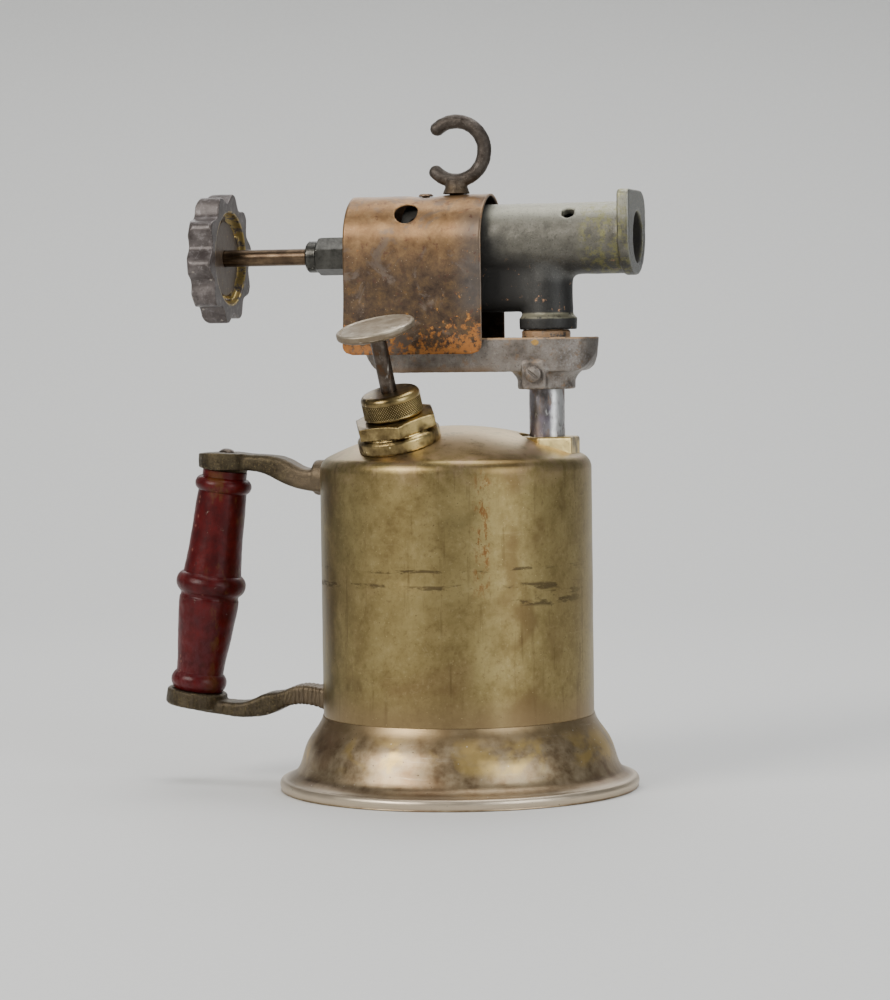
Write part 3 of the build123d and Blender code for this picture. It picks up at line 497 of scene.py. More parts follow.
# ---------------------------------------------------------------- finishes
def aged_brass():
    """Tank: olive gold, clouded brown and violet, with scuffs, dark streaks and fine specks, painted shade on
    the left side and in a band on the right, and a painted highlight on the crown.
    """
    s = Surface("aged_brass", 1.0, 0.42)
    x, y, z = s.axes()
    clouds = s.noise(30, detail=3, rough=0.5, warp=0.6)
    patches = s.noise(9, detail=8, rough=0.72, warp=0.2, shift=(13, 2, 5))
    grain = s.noise(1.1, detail=5, rough=0.75)
    runs = s.noise(3.2, detail=5, rough=0.6, stretch=(1, 1, 0.07), shift=(3, 1, 0))
    drawn = s.noise(2.2, detail=5, rough=0.65, stretch=(0.09, 0.09, 1.6))
    s.colour = s.ramp(patches, (0.25, (0.175, 0.122, 0.048)), (0.48, (0.265, 0.2, 0.082)),
                      (0.62, (0.315, 0.243, 0.105)), (0.8, (0.4, 0.32, 0.155)))
    s.coat((0.195, 0.12, 0.058), s.fade(clouds, 0.5, 0.72), 0.45)
    s.coat((0.35, 0.275, 0.118), s.fade(clouds, 0.46, 0.28), 0.5)
    mottle = s.noise(2.0, detail=6, rough=0.75, shift=(6, 1, 4))
    s.coat((0.15, 0.1, 0.045), s.fade(mottle, 0.52, 0.68), 0.5)
    s.coat((0.43, 0.35, 0.18), s.fade(mottle, 0.46, 0.32), 0.35)
    # shaded
    s.coat((0.145, 0.118, 0.045), s.fade(x, -22, -50), s.fade(patches, 0.7, 0.4), 0.6)
    # painted shade: a dark brown band down the right side, broken by the clouds
    s.coat((0.155, 0.1, 0.042), s.band(x, 26, 42, 9), s.fade(clouds, 0.42, 0.56), 0.65)
    violet = s.product(s.fade(z, 118, 137), s.fade(patches, 0.42, 0.66))
    s.coat((0.33, 0.215, 0.15), violet, 0.75)
    # painted highlight: the crown lighter above the shoulder
    s.coat((0.66, 0.505, 0.285), s.fade(z, 131, 140), s.fade(patches, 0.25, 0.5), 0.85)
    s.coat((0.085, 0.05, 0.022), s.fade(runs, 0.56, 0.74), 0.5)
    wiped = s.noise(14, detail=4, rough=0.6, stretch=(0.25, 0.25, 1), shift=(0, 0, 4))
    wiped_z = s.wavy(z, wiped, 6.0)
    stroke = s.most(s.band(wiped_z, 89.6, 90.3, 0.5), s.band(wiped_z, 82.8, 84.0, 0.8),
                    s.product(s.band(wiped_z, 77.5, 81.0, 1.2), s.fade(x, 25, 35)))
    broken = s.fade(s.noise(5, detail=6, rough=0.7, stretch=(0.3, 0.3, 1)), 0.47, 0.56)
    scuffed = s.product(stroke, broken, s.fade(y, -5, -25))
    s.coat((0.06, 0.042, 0.024), scuffed, 0.75)
    drawn_fine = s.fade(drawn, 0.6, 0.8)
    s.coat((0.46, 0.37, 0.18), drawn_fine, 0.3)
    wander = s.noise(16, detail=5, rough=0.6, stretch=(0.3, 0.3, 1))
    crack_x = s.wavy(x, wander, 7.0)
    crack = s.product(s.band(crack_x, 21.5, 24.5, 2.2), s.band(z, 86, 122, 10))
    crumbs = s.noise(2.6, detail=6, rough=0.75, shift=(1, 5, 1), stretch=(1, 1, 0.6))
    crack = s.product(crack, s.fade(crumbs, 0.5, 0.6), s.fade(y, -10, -30))
    s.coat((0.2, 0.085, 0.028), crack, 0.85)
    specks = s.fade(s.cells(2.6, shift=(5, 5, 5)), 0.13, 0.06)
    s.coat((0.07, 0.045, 0.022), specks, s.fade(patches, 0.5, 0.6), 0.7)
    s.coat((0.27, 0.185, 0.095), s.fade(z, 44, 29), 0.65)
    dusting = s.fade(s.cells(1.5, shift=(2, 9, 2)), 0.16, 0.06)
    s.coat((0.52, 0.42, 0.2), dusting, s.fade(grain, 0.5, 0.62))
    roughness = s.linear(patches, 0.22, 0.28)
    roughness = s.linear(scuffed, 0.15, roughness)
    s.bumps((grain, 0.012, 0.5), (drawn, 0.02, 0.5), (crack, -0.05, 0.5), (patches, 0.04, 0.35))
    return s.finish(roughness)


def skirt_brass():
    """Skirt: browned brass, golden along a painted highlight on its bulge, with pits and pale flecks."""
    s = Surface("browned_brass", 1.0, 0.42)
    z = s.axis("Z")
    clouds = s.noise(22, detail=4, rough=0.55, warp=0.5, shift=(4, 0, 9))
    patches = s.noise(6, detail=6, rough=0.65, shift=(2, 8, 1))
    grain = s.noise(0.9, detail=4, rough=0.7)
    drawn = s.noise(2.0, detail=5, rough=0.6, stretch=(0.12, 0.12, 1.5))
    s.colour = s.ramp(patches, (0.28, (0.2, 0.13, 0.07)), (0.5, (0.33, 0.245, 0.145)),
                      (0.68, (0.42, 0.33, 0.21)), (0.85, (0.5, 0.41, 0.29)))
    s.coat((0.19, 0.105, 0.052), s.fade(clouds, 0.52, 0.68), 0.5)
    # painted highlight: a golden band along the convex bulge of the skirt
    bulge_highlight = s.product(s.band(z, 15, 23, 5), s.fade(clouds, 0.52, 0.38))
    s.coat((0.55, 0.38, 0.13), bulge_highlight, 0.75)
    s.coat((0.66, 0.56, 0.43), s.band(z, 1.4, 4.6, 1.2), 0.8)
    s.coat((0.085, 0.06, 0.04), s.band(z, 5.0, 7.0, 1.5), 0.35)
    s.coat((0.27, 0.19, 0.095), s.fade(z, 20, 28), 0.7)
    pits = s.product(s.fade(s.cells(2.2, shift=(1, 7, 3)), 0.16, 0.07), s.fade(patches, 0.48, 0.62))
    s.coat((0.1, 0.065, 0.04), pits, 0.8)
    flecks = s.product(s.fade(s.cells(3.4, shift=(8, 2, 6)), 0.12, 0.05), s.fade(clouds, 0.5, 0.4))
    s.coat((0.62, 0.58, 0.5), flecks, 0.7)
    s.coat((0.52, 0.44, 0.33), s.fade(drawn, 0.6, 0.78), 0.4)
    s.bumps((grain, 0.015, 0.5), (drawn, 0.02, 0.5), (pits, -0.05, 0.6), (patches, 0.05, 0.35))
    return s.finish(s.linear(patches, 0.25, 0.27))


def fitting_brass():
    """Machined fittings: tarnished brown brass, bright on the edges, golden on the right-hand faces by a
    painted highlight, dark in the corners.
    """
    s = Surface("fitting_brass", 1.0, 0.36)
    patches = s.noise(4.5, detail=6, rough=0.65, shift=(3, 3, 1))
    broad = s.noise(12, detail=3, shift=(1, 9, 4))
    grain = s.noise(0.5, detail=4, rough=0.7)
    x, z = s.axis("X"), s.axis("Z")
    s.colour = s.ramp(patches, (0.3, (0.08, 0.054, 0.024)), (0.5, (0.175, 0.127, 0.055)),
                      (0.66, (0.3, 0.225, 0.1)), (0.85, (0.5, 0.4, 0.2)))
    s.coat((0.1, 0.068, 0.032), s.fade(broad, 0.5, 0.64), 0.55)
    # painted highlight: the right-hand faces golden, broken by the broad noise
    s.coat((0.8, 0.6, 0.25), s.fade(x, -14, 0), s.fade(broad, 0.6, 0.42), 0.85)
    specks = s.product(s.fade(s.cells(1.3), 0.2, 0.08), s.fade(patches, 0.45, 0.6))
    s.coat((0.1, 0.07, 0.04), specks, 0.7)
    s.coat((0.11, 0.078, 0.04), s.hollows(), 0.85)
    edges = s.product(s.worn_edges(), s.fade(grain, 0.3, 0.5))
    s.coat((0.78, 0.62, 0.3), edges, 0.85)
    groove = s.node("Attribute", attribute_name="groove").outputs["Fac"]
    s.coat((0.03, 0.02, 0.008), s.fade(groove, 0.25, 0.8), 0.92)
    valve_end = s.product(s.fade(x, -36, -40), s.fade(z, 190, 195))
    nickel = s.ramp(patches, (0.35, (0.035, 0.034, 0.03)), (0.65, (0.085, 0.082, 0.074)))
    nickel = s.mix(nickel, (0.42, 0.41, 0.36), s.product(edges, 0.7))
    s.coat(nickel, valve_end)
    s.bumps((grain, 0.01, 0.5), (patches, 0.03, 0.4), (specks, -0.02, 0.5))
    return s.finish(s.linear(patches, 0.25, 0.2))


def spindle_brass():
    s = Surface("spindle_brass", 1.0, 0.4)
    lines = s.noise(1.3, detail=5, rough=0.65, stretch=(0.07, 1, 1))
    rings = s.noise(0.8, detail=3, stretch=(1, 0.05, 0.05))
    patches = s.noise(5, detail=5, shift=(2, 2, 7))
    s.colour = s.ramp(patches, (0.3, (0.055, 0.036, 0.024)), (0.55, (0.11, 0.074, 0.046)),
                      (0.8, (0.19, 0.13, 0.078)))
    s.coat((0.06, 0.042, 0.03), s.fade(lines, 0.54, 0.7), 0.6)
    s.coat((0.36, 0.25, 0.15), s.fade(lines, 0.42, 0.3), 0.5)
    s.bumps((lines, 0.03, 0.5), (rings, 0.015, 0.5))
    return s.finish(s.linear(lines, 0.3, 0.2))


def pipe_steel():
    """Standpipe: steel blued by heat, with bright scraped zinc and rust beside it."""
    s = Surface("pipe_steel", 1.0, 0.34)
    z = s.axis("Z")
    patches = s.noise(5, detail=6, rough=0.65, stretch=(1, 1, 0.5))
    scrapes = s.noise(2.4, detail=6, rough=0.7, stretch=(1, 1, 0.28), shift=(4, 4, 0))
    grain = s.noise(0.6, detail=4)
    s.colour = s.ramp(patches, (0.3, (0.1, 0.088, 0.082)), (0.47, (0.215, 0.195, 0.2)),
                      (0.6, (0.3, 0.285, 0.305)), (0.78, (0.25, 0.21, 0.175)))
    violet = s.noise(9, detail=3, shift=(0, 0, 3))
    s.coat((0.225, 0.185, 0.245), s.fade(violet, 0.5, 0.64), 0.5)
    zinc = s.fade(scrapes, 0.56, 0.64)
    s.coat((0.66, 0.66, 0.64), zinc, 0.85)
    # painted highlight: the right side brighter, broken by the scrapes
    s.coat((0.7, 0.7, 0.68), s.fade(s.axis("X"), 39.5, 42.0), s.fade(scrapes, 0.38, 0.5), 0.75)
    rust = s.product(s.fade(s.noise(3.5, detail=6, rough=0.7, shift=(9, 1, 2)), 0.56, 0.68),
                     s.fade(z, 163, 176))
    rust = s.most(rust, s.product(s.fade(scrapes, 0.44, 0.38), 0.45))
    s.coat((0.22, 0.125, 0.06), rust)
    s.bumps((grain, 0.015, 0.5), (zinc, 0.03, 0.6), (patches, 0.03, 0.4))
    return s.finish(s.linear(patches, 0.3, s.linear(rust, 0.3, 0.2)), s.linear(rust, -0.6, 1.0))


def rod_steel():
    s = Surface("rod_steel", 1.0, 0.35)
    lines = s.noise(1.6, detail=5, rough=0.65, stretch=(1, 1, 0.1))
    patches = s.noise(4, detail=5, rough=0.6, shift=(1, 0, 5))
    grain = s.noise(0.4, detail=3)
    s.colour = s.ramp(patches, (0.3, (0.038, 0.028, 0.02)), (0.5, (0.072, 0.056, 0.044)),
                      (0.75, (0.14, 0.115, 0.095)))
    s.coat((0.5, 0.46, 0.41), s.fade(lines, 0.57, 0.7), 0.6)
    s.coat((0.09, 0.048, 0.024), s.fade(patches, 0.45, 0.34), 0.6)
    s.coat((0.55, 0.52, 0.46), s.worn_edges(), 0.6)
    s.bumps((lines, 0.02, 0.5), (grain, 0.01, 0.5))
    return s.finish(s.linear(lines, 0.3, 0.2))


def knob_metal():
    """Pump knob: dull plated metal, greyed and dusty, lighter on top and brown at its rim, where painted
    shade darkens the faces that look downward.
    """
    s = Surface("knob_metal", 0.85, 0.5)
    patches = s.noise(4, detail=6, rough=0.62)
    scratches = s.noise(1.4, detail=6, rough=0.7, stretch=(0.35, 1, 0.35), shift=(2, 0, 0))
    grain = s.noise(0.35, detail=4, rough=0.7)
    s.colour = s.ramp(patches, (0.3, (0.25, 0.205, 0.145)), (0.5, (0.365, 0.31, 0.235)),
                      (0.75, (0.47, 0.415, 0.325)))
    s.coat((0.6, 0.54, 0.43), s.fade(scratches, 0.58, 0.7), 0.5)
    s.coat((0.17, 0.125, 0.07), s.hollows(0.498, 0.47), 0.8)
    # painted shade: the faces that look downward darkened, which browns the rim
    under = s.node("SeparateXYZ")
    s.feed(under.inputs[0], s.node("NewGeometry").outputs["True Normal"])
    s.coat((0.13, 0.09, 0.05), s.fade(under.outputs["Z"], 0.15, -0.25), 0.7)
    s.coat((0.68, 0.62, 0.51), s.worn_edges(0.515, 0.56), 0.6)
    specks = s.fade(s.cells(1.0), 0.2, 0.1)
    s.coat((0.22, 0.18, 0.13), specks, 0.4)
    s.bumps((grain, 0.015, 0.6), (scratches, 0.02, 0.5))
    return s.finish(s.linear(patches, 0.2, 0.38))


def arm_bronze():
    """Handle arms: rough cast bronze, brown grey, gold where hands rubbed it."""
    s = Surface("arm_bronze", 0.9, 0.5)
    x, z = s.axis("X"), s.axis("Z")
    sand = s.noise(0.75, detail=5, rough=0.7)
    patches = s.noise(5, detail=5, rough=0.6, shift=(2, 1, 0))
    ridges = s.noise(1.1, detail=3, rough=0.5, stretch=(1, 0.1, 0.12))
    s.colour = s.ramp(patches, (0.3, (0.038, 0.029, 0.018)), (0.5, (0.064, 0.05, 0.03)),
                      (0.72, (0.1, 0.078, 0.044)))
    s.coat((0.21, 0.155, 0.07), s.fade(sand, 0.54, 0.68), 0.55)
    s.coat((0.028, 0.021, 0.014), s.fade(sand, 0.46, 0.34), 0.7)
    s.coat((0.2, 0.15, 0.1), s.fade(x, -76, -62), 0.5)
    s.coat((0.34, 0.28, 0.19), s.worn_edges(0.52, 0.6), 0.5)
    crossed = s.product(s.fade(ridges, 0.42, 0.6), s.fade(z, 60, 45))
    s.coat((0.1, 0.078, 0.055), crossed, 0.35)
    s.bumps((sand, 0.18, 0.9), (crossed, 0.12, 0.6), (patches, 0.08, 0.4))
    return s.finish(s.linear(sand, 0.25, 0.36))


def red_paint():
    """Grip: dark red gloss paint, crazed and chipped to the wood, dusty on its bulges."""
    s = Surface("red_paint", 0.0, 0.3)
    x, z = s.axis("X"), s.axis("Z")
    patches = s.noise(7, detail=5, rough=0.6, shift=(3, 6, 1))
    grime = s.noise(2.4, detail=6, rough=0.7, stretch=(1, 1, 0.6))
    along = s.noise(1.5, detail=5, rough=0.6, stretch=(1, 1, 0.1))
    grain = s.noise(0.5, detail=5, rough=0.7)
    s.colour = s.ramp(patches, (0.3, (0.027, 0.001, 0.0012)), (0.5, (0.055, 0.002, 0.0024)),
                      (0.75, (0.095, 0.0045, 0.0045)))
    s.coat((0.022, 0.002, 0.003), s.fade(grime, 0.54, 0.68), 0.5)
    dusty = s.product(s.fade(grime, 0.46, 0.62), s.fade(x, -107, -118))
    s.coat((0.24, 0.085, 0.08), dusty, 0.4)
    low = s.fade(z, 90, 55)
    s.coat((0.075, 0.014, 0.018), low, s.fade(grime, 0.4, 0.6), 0.5)
    browned = s.noise(9, detail=5, rough=0.62, stretch=(1, 1, 0.45), shift=(1, 4, 8))
    s.coat((0.085, 0.034, 0.009), s.fade(browned, 0.54, 0.62), s.fade(x, -106, -97), 0.75)
    chips = s.fade(s.noise(3.0, detail=6, rough=0.75, shift=(7, 2, 2)), 0.655, 0.685)
    s.coat((0.2, 0.15, 0.12), chips, 0.85)
    s.coat((0.3, 0.12, 0.09), s.worn_edges(0.53, 0.6), 0.4)
    s.coat((0.012, 0.002, 0.002), s.hollows(0.495, 0.46), 0.8)
    roughness = s.linear(grime, 0.3, 0.2)
    roughness = s.linear(chips, 0.4, roughness)
    s.bumps((grain, 0.02, 0.5), (along, 0.05, 0.5), (chips, -0.08, 0.8))
    s.shader.inputs["Specular IOR Level"].default_value = 0.22
    return s.finish(roughness)


def cup_iron():
    """Priming cup: dark sand-cast iron, rust along its top edge and about the nut."""
    s = Surface("cup_iron", 0.75, 0.5)
    x, y, z = s.axes()
    sand = s.noise(0.8, detail=5, rough=0.7)
    patches = s.noise(6, detail=5, rough=0.6)
    rusty = s.noise(3, detail=6, rough=0.7, shift=(5, 0, 3))
    s.colour = s.ramp(patches, (0.3, (0.105, 0.088, 0.074)), (0.5, (0.2, 0.172, 0.148)),
                      (0.72, (0.29, 0.262, 0.235)))
    # painted highlight: the sand grains lighter towards the right side
    s.coat((0.34, 0.335, 0.33), s.fade(sand, 0.5, 0.66), s.fade(x, 25, 55), 0.6)
    s.coat((0.055, 0.042, 0.034), s.fade(sand, 0.45, 0.33), 0.6)
    s.coat((0.25, 0.155, 0.085), s.fade(rusty, 0.54, 0.66), 0.55)
    rim = s.product(s.fade(z, 177.4, 178.3), s.fade(rusty, 0.36, 0.5))
    s.coat((0.5, 0.3, 0.14), rim, 0.85)
    # underside
    s.coat((0.28, 0.175, 0.095), s.fade(z, 168.5, 165.5), s.fade(x, 24, 14), 0.5)
    # soot
    s.coat((0.035, 0.028, 0.024), s.fade(y, -12, -6), s.fade(z, 166, 168), 0.5)
    nut = s.product(s.fade(z, 178.4, 178.9), s.fade(rusty, 0.4, 0.52))
    s.coat((0.4, 0.235, 0.12), nut, 0.9)
    drop_x, drop_z, flatness = 36.6, 176.6, 1.6
    across, up = s.maths("SUBTRACT", x, drop_x), s.maths("SUBTRACT", z, drop_z)
    from_drop = s.maths("SQRT", s.maths("ADD", s.product(across, across), s.product(up, up, flatness)))
    drop = s.product(s.fade(s.wavy(from_drop, rusty, 3.0), 1.7, 1.1), s.fade(y, -12, -14))
    s.coat((0.5, 0.29, 0.075), drop, 0.9)
    s.coat((0.4, 0.37, 0.33), s.worn_edges(0.53, 0.6), 0.5)
    rustiness = s.most(rim, nut)
    s.bumps((sand, 0.2, 0.9), (patches, 0.1, 0.4), (drop, 0.15, 0.6))
    return s.finish(s.linear(sand, 0.28, 0.32), s.linear(rustiness, -0.6, 0.8))


def burner_iron():
    """Burner: grey olive casting, yellowish above, blackened behind the shield by soot and painted shadow,
    with painted shadow on the neck and a painted highlight on the collar's top edge.
    """
    s = Surface("burner_iron", 0.85, 0.45)
    x, y, z = s.axes()
    sand = s.noise(0.65, detail=5, rough=0.7)
    patches = s.noise(7, detail=5, rough=0.62)
    stains = s.noise(3, detail=6, rough=0.7, shift=(8, 3, 0))
    s.colour = s.ramp(patches, (0.3, (0.082, 0.078, 0.066)), (0.5, (0.138, 0.13, 0.108)),
                      (0.75, (0.195, 0.185, 0.158)))
    above = s.fade(z, 221, 229)
    s.coat((0.44, 0.43, 0.345), above, 0.65)
    beneath = s.fade(z, 214, 206)
    s.coat((0.068, 0.068, 0.068), beneath, 0.75)
    olive = s.product(s.band(x, 58, 72, 6), s.fade(stains, 0.46, 0.6))
    s.coat((0.24, 0.23, 0.07), olive, 0.5)
    s.coat((0.035, 0.032, 0.028), s.fade(sand, 0.45, 0.33), 0.55)
    s.coat((0.34, 0.33, 0.3), s.fade(sand, 0.57, 0.7), 0.35)
    # painted shadow on the right part of the neck and the collar
    s.coat((0.03, 0.029, 0.028), s.fade(z, 203, 199), s.fade(x, 32, 40), 0.75)
    from_axis = s.distance(y, s.maths("SUBTRACT", z, tube_z))
    # soot and painted shadow: black on the block under the tube, in the bore at the mouth, and along the tube
    # inside the shield
    soot_and_shadow = s.most(s.product(s.fade(z, 214, 205), s.fade(x, 40, 25)),
                  s.product(s.fade(from_axis, 11.2, 10.7), s.fade(x, 74.9, 73.0)),
                  s.fade(x, 18, 12),
                  s.product(s.fade(x, 28, 17), s.fade(s.linear(patches, 10, z), 228, 219)),
                  s.product(s.fade(x, -44, -38), s.fade(x, 20, 14)))
    s.coat((0.018, 0.016, 0.014), soot_and_shadow, 0.93)
    # painted highlight along the collar's top edge, broken by the stains
    s.coat((0.42, 0.39, 0.27), s.band(z, 186.2, 187.6, 0.7), s.fade(stains, 0.35, 0.5), 0.6)
    rust = s.product(s.fade(s.noise(4, detail=6, rough=0.75, shift=(1, 1, 9)), 0.63, 0.69),
                     s.fade(z, 216, 204))
    s.coat((0.42, 0.22, 0.11), rust, 0.8)
    face = s.fade(x, 74.2, 74.8)
    s.coat((0.2, 0.2, 0.195), face, s.fade(sand, 0.36, 0.52))
    s.coat((0.42, 0.4, 0.35), s.worn_edges(0.53, 0.6), s.linear(soot_and_shadow, -0.6, 0.6))
    s.bumps((sand, 0.16, 0.85), (patches, 0.1, 0.4))
    return s.finish(s.linear(sand, 0.25, s.linear(soot_and_shadow, 0.2, 0.36)), s.linear(s.most(soot_and_shadow, rust), -0.6, 0.88))


def wheel_paint():
    """Handwheel: brown-black baked enamel with a grey bloom, brass showing inside."""
    s = Surface("wheel_paint", 0.35, 0.42)
    patches = s.noise(6, detail=5, rough=0.6, shift=(1, 2, 1))
    bloom = s.noise(2.2, detail=6, rough=0.7)
    grain = s.noise(0.6, detail=4, rough=0.7)
    s.colour = s.ramp(patches, (0.3, (0.044, 0.033, 0.03)), (0.5, (0.076, 0.062, 0.058)),
                      (0.75, (0.13, 0.11, 0.105)))
    s.coat((0.28, 0.255, 0.25), s.fade(bloom, 0.52, 0.68), 0.5)
    s.coat((0.022, 0.015, 0.013), s.fade(bloom, 0.45, 0.35), 0.6)
    worn = s.product(s.worn_edges(0.525, 0.58), s.fade(bloom, 0.36, 0.52))
    s.coat((0.36, 0.32, 0.28), worn, 0.75)
    from_axis = s.distance(s.axis("Y"), s.maths("SUBTRACT", s.axis("Z"), wheel_axis_z))
    scraped = s.fade(s.noise(3, detail=6, rough=0.7, shift=(5, 5, 5)), 0.42, 0.52)
    brass = s.product(s.fade(from_axis, 19.3, 18.8), scraped, s.fade(from_axis, 16.5, 17.5))
    s.coat((0.44, 0.33, 0.12), brass, 0.85)
    hub = s.fade(from_axis, 16.5, 15.5)
    s.coat((0.075, 0.05, 0.03), hub, 0.7)
    flecks = s.product(hub, s.fade(s.noise(1.6, detail=6, rough=0.75, shift=(2, 8, 1)), 0.6, 0.68))
    s.coat((0.3, 0.19, 0.07), flecks, 0.7)
    s.bumps((grain, 0.04, 0.6), (bloom, 0.05, 0.5))
    return s.finish(s.linear(bloom, 0.3, 0.25), s.linear(s.most(worn, brass), 0.5, 0.35))


def shield_metal():
    """Heat shield: copper tan above, mottled brown and grey lower down, orange rust at its lower edge."""
    s = Surface("shield_metal", 0.75, 0.45)
    x, y, z = s.axes()
    clouds = s.noise(13, detail=6, rough=0.66, warp=0.8, shift=(2, 0, 4))
    patches = s.noise(4, detail=8, rough=0.75, warp=0.2)
    fine = s.noise(1.1, detail=5, rough=0.7)
    low = s.fade(s.linear(clouds, -26, z), 218, 186)
    s.colour = s.ramp(patches, (0.3, (0.19, 0.102, 0.045)), (0.52, (0.285, 0.165, 0.075)),
                      (0.75, (0.4, 0.255, 0.13)))
    mottled = s.ramp(patches, (0.32, (0.036, 0.021, 0.013)), (0.46, (0.066, 0.04, 0.024)),
                     (0.58, (0.105, 0.063, 0.029)), (0.75, (0.19, 0.1, 0.035)))
    s.coat(mottled, low)
    s.coat((0.155, 0.118, 0.092), s.fade(clouds, 0.52, 0.62), 0.65)
    # painted shade on the far corner towards the right end
    s.coat((0.105, 0.095, 0.088), s.fade(x, 2, 13), s.band(z, 193, 224, 8), 0.6)
    plum = s.fade(s.noise(3.2, detail=5, rough=0.7, shift=(9, 9, 1)), 0.57, 0.66)
    s.coat((0.095, 0.038, 0.026), plum, 0.6)
    rusty = s.noise(3.0, detail=6, rough=0.75, shift=(3, 7, 7))
    lean = s.product(s.maths("ABSOLUTE", s.maths("ADD", x, 16)), 0.012)
    edge = s.wavy(s.fade(z, 196, 168), rusty, 4.2)
    rust = s.fade(s.maths("ADD", edge, lean), 0.75, 1.15)
    s.coat((0.37, 0.135, 0.022), rust, 0.85)
    # bright
    s.coat((0.6, 0.28, 0.045), s.fade(rusty, 0.59, 0.68), s.fade(z, 205, 176), 0.85)
    dust = s.fade(s.cells(2.0, shift=(4, 4, 4)), 0.13, 0.05)
    s.coat((0.42, 0.33, 0.22), dust, 0.4)
    bend_z = 216.4
    from_axis = s.distance(y, s.most(s.maths("SUBTRACT", z, bend_z), 0.0))
    # painted shade over the inner face of the sheet
    s.coat((0.035, 0.024, 0.018), s.fade(from_axis, 18.35, 18.0), 0.9)
    s.coat((0.52, 0.34, 0.19), s.worn_edges(0.55, 0.65), 0.4)
    metallic = s.linear(s.most(rust, s.product(low, 0.5)), -0.65, 0.8)
    s.bumps((fine, 0.03, 0.5), (patches, 0.05, 0.45), (rust, 0.06, 0.5))
    return s.finish(s.linear(patches, 0.25, s.linear(rust, 0.2, 0.3)), metallic)


def hook_iron():
    s = Surface("hook_iron", 0.75, 0.5)
    z = s.axis("Z")
    sand = s.noise(0.8, detail=5, rough=0.72)
    patches = s.noise(4, detail=5, rough=0.6)
    s.colour = s.ramp(patches, (0.3, (0.036, 0.027, 0.021)), (0.5, (0.066, 0.053, 0.043)),
                      (0.75, (0.115, 0.097, 0.083)))
    s.coat((0.105, 0.07, 0.036), s.fade(z, 243, 237), 0.6)
    s.coat((0.025, 0.018, 0.014), s.fade(sand, 0.45, 0.33), 0.6)
    s.coat((0.27, 0.235, 0.2), s.fade(sand, 0.57, 0.7), 0.5)
    s.bumps((sand, 0.2, 0.9), (patches, 0.12, 0.4))
    return s.finish(s.linear(sand, 0.25, 0.35))


def leather():
    s = Surface("oiled_leather", 0.0, 0.55)
    hide = s.cells(0.7, feature="SMOOTH_F1")
    patches = s.noise(3, detail=4)
    s.colour = s.ramp(patches, (0.3, (0.045, 0.022, 0.011)), (0.7, (0.12, 0.062, 0.03)))
    s.coat((0.02, 0.011, 0.006), s.fade(hide, 0.35, 0.1), 0.5)
    s.bump(hide, 0.05, 0.6)
    return s.finish(s.linear(patches, 0.3, 0.35))


def cotton():
    s = Surface("cotton", 0.0, 0.9)
    strands = s.noise(0.5, detail=4, stretch=(1, 1, 0.25))
    stains = s.noise(6, detail=4)
    s.colour = s.ramp(strands, (0.3, (0.34, 0.28, 0.19)), (0.7, (0.62, 0.55, 0.43)))
    s.coat((0.3, 0.22, 0.12), s.fade(stains, 0.48, 0.65), 0.6)
    s.bump(strands, 0.15, 0.9)
    return s.finish()


finishes = {
    "tank_brass": aged_brass(), "skirt_brass": skirt_brass(), "fitting_brass": fitting_brass(),
    "spindle_brass": spindle_brass(), "pipe_steel": pipe_steel(), "rod_steel": rod_steel(),
    "knob_metal": knob_metal(), "arm_bronze": arm_bronze(), "grip_wood": red_paint(), "cup_iron": cup_iron(),
    "burner_iron": burner_iron(), "wheel_paint": wheel_paint(), "shield_metal": shield_metal(),
    "hook_iron": hook_iron(), "leather": leather(), "wick_cotton": cotton(),
}


# ---------------------------------------------------------------- lines that turned parts lie on
def joint_line(name):
    """Where the line of a joint that has a place starts, and the way it runs, from the record."""
    return Vector(joints[name]["pos_m"]), Vector(joints[name]["axis"]).normalized()


def long_axis(node):
    """The middles of the upper and the lower end of a long turned node."""
    points = read_points(cad_mesh(node))
    along = np.linalg.svd(points - points.mean(0), full_matrices=False)[2][0]
    for _ in range(4):
        heights = points @ along
        low = points[heights < heights.min() + 0.4 * MM].mean(0)
        high = points[heights > heights.max() - 0.4 * MM].mean(0)
        along = (high - low) / np.linalg.norm(high - low)
    return (high, low) if high[2] > low[2] else (low, high)


def middle(node):
    low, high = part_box(node)
    return (Vector(low) + Vector(high)) / 2


pump_foot, pump_way = joint_line("cap_unscrew")
wheel_middle = joint_line("valve_turn")[0]
grip_top, grip_bottom = long_axis("handle_grip")
pipe_middle = middle("standpipe")
TANK = Matrix.Identity(4)
PIPE = Matrix.Translation((pipe_middle.x, pipe_middle.y, 0))
PUMP = axis_place(pump_foot, pump_way)
GRIP = axis_place(grip_top, Vector(grip_bottom) - Vector(grip_top))
VALVE = axis_place((0, wheel_middle.y, wheel_middle.z), (1, 0, 0))


def turned_piece(node, place, **settings):
    new_piece(node, "turned", turned_mesh(node, place, **settings))


def cast_piece(node, voxel, smooth=3, depth=0.0, size=2.0, octaves=3, seed=1.0, shaped=None):
    """A piece recast in voxels of a size in millimetres, then shaped, then roughened to a depth."""
    mesh = recast(node, voxel, smooth)
    if shaped:
        shaped(mesh)
    if depth:
        roughen(mesh, depth, size, octaves, seed)
    new_piece(node, "worn", mesh)


# ---------------------------------------------------------------- tank
def tank_dents(radii, turns, heights):
    soft = ring_noise(radii, turns, heights, 24, 3.0)
    depth = dented(0.14 * (1 - soft) / 2, turns, heights, 54, (-97, 88, 9, 5, 0.5), (-62, 60, 7, 12, 0.35),
                   (-125, 47, 6, 4, 0.3), (-74, 112, 5, 5, 0.3), (100, 80, 10, 9, 0.6), (20, 66, 6, 8, 0.4))
    return radii - depth * np.clip((heights - 22) / 8, 0, 1) * np.clip(radii / 20, 0, 1), heights


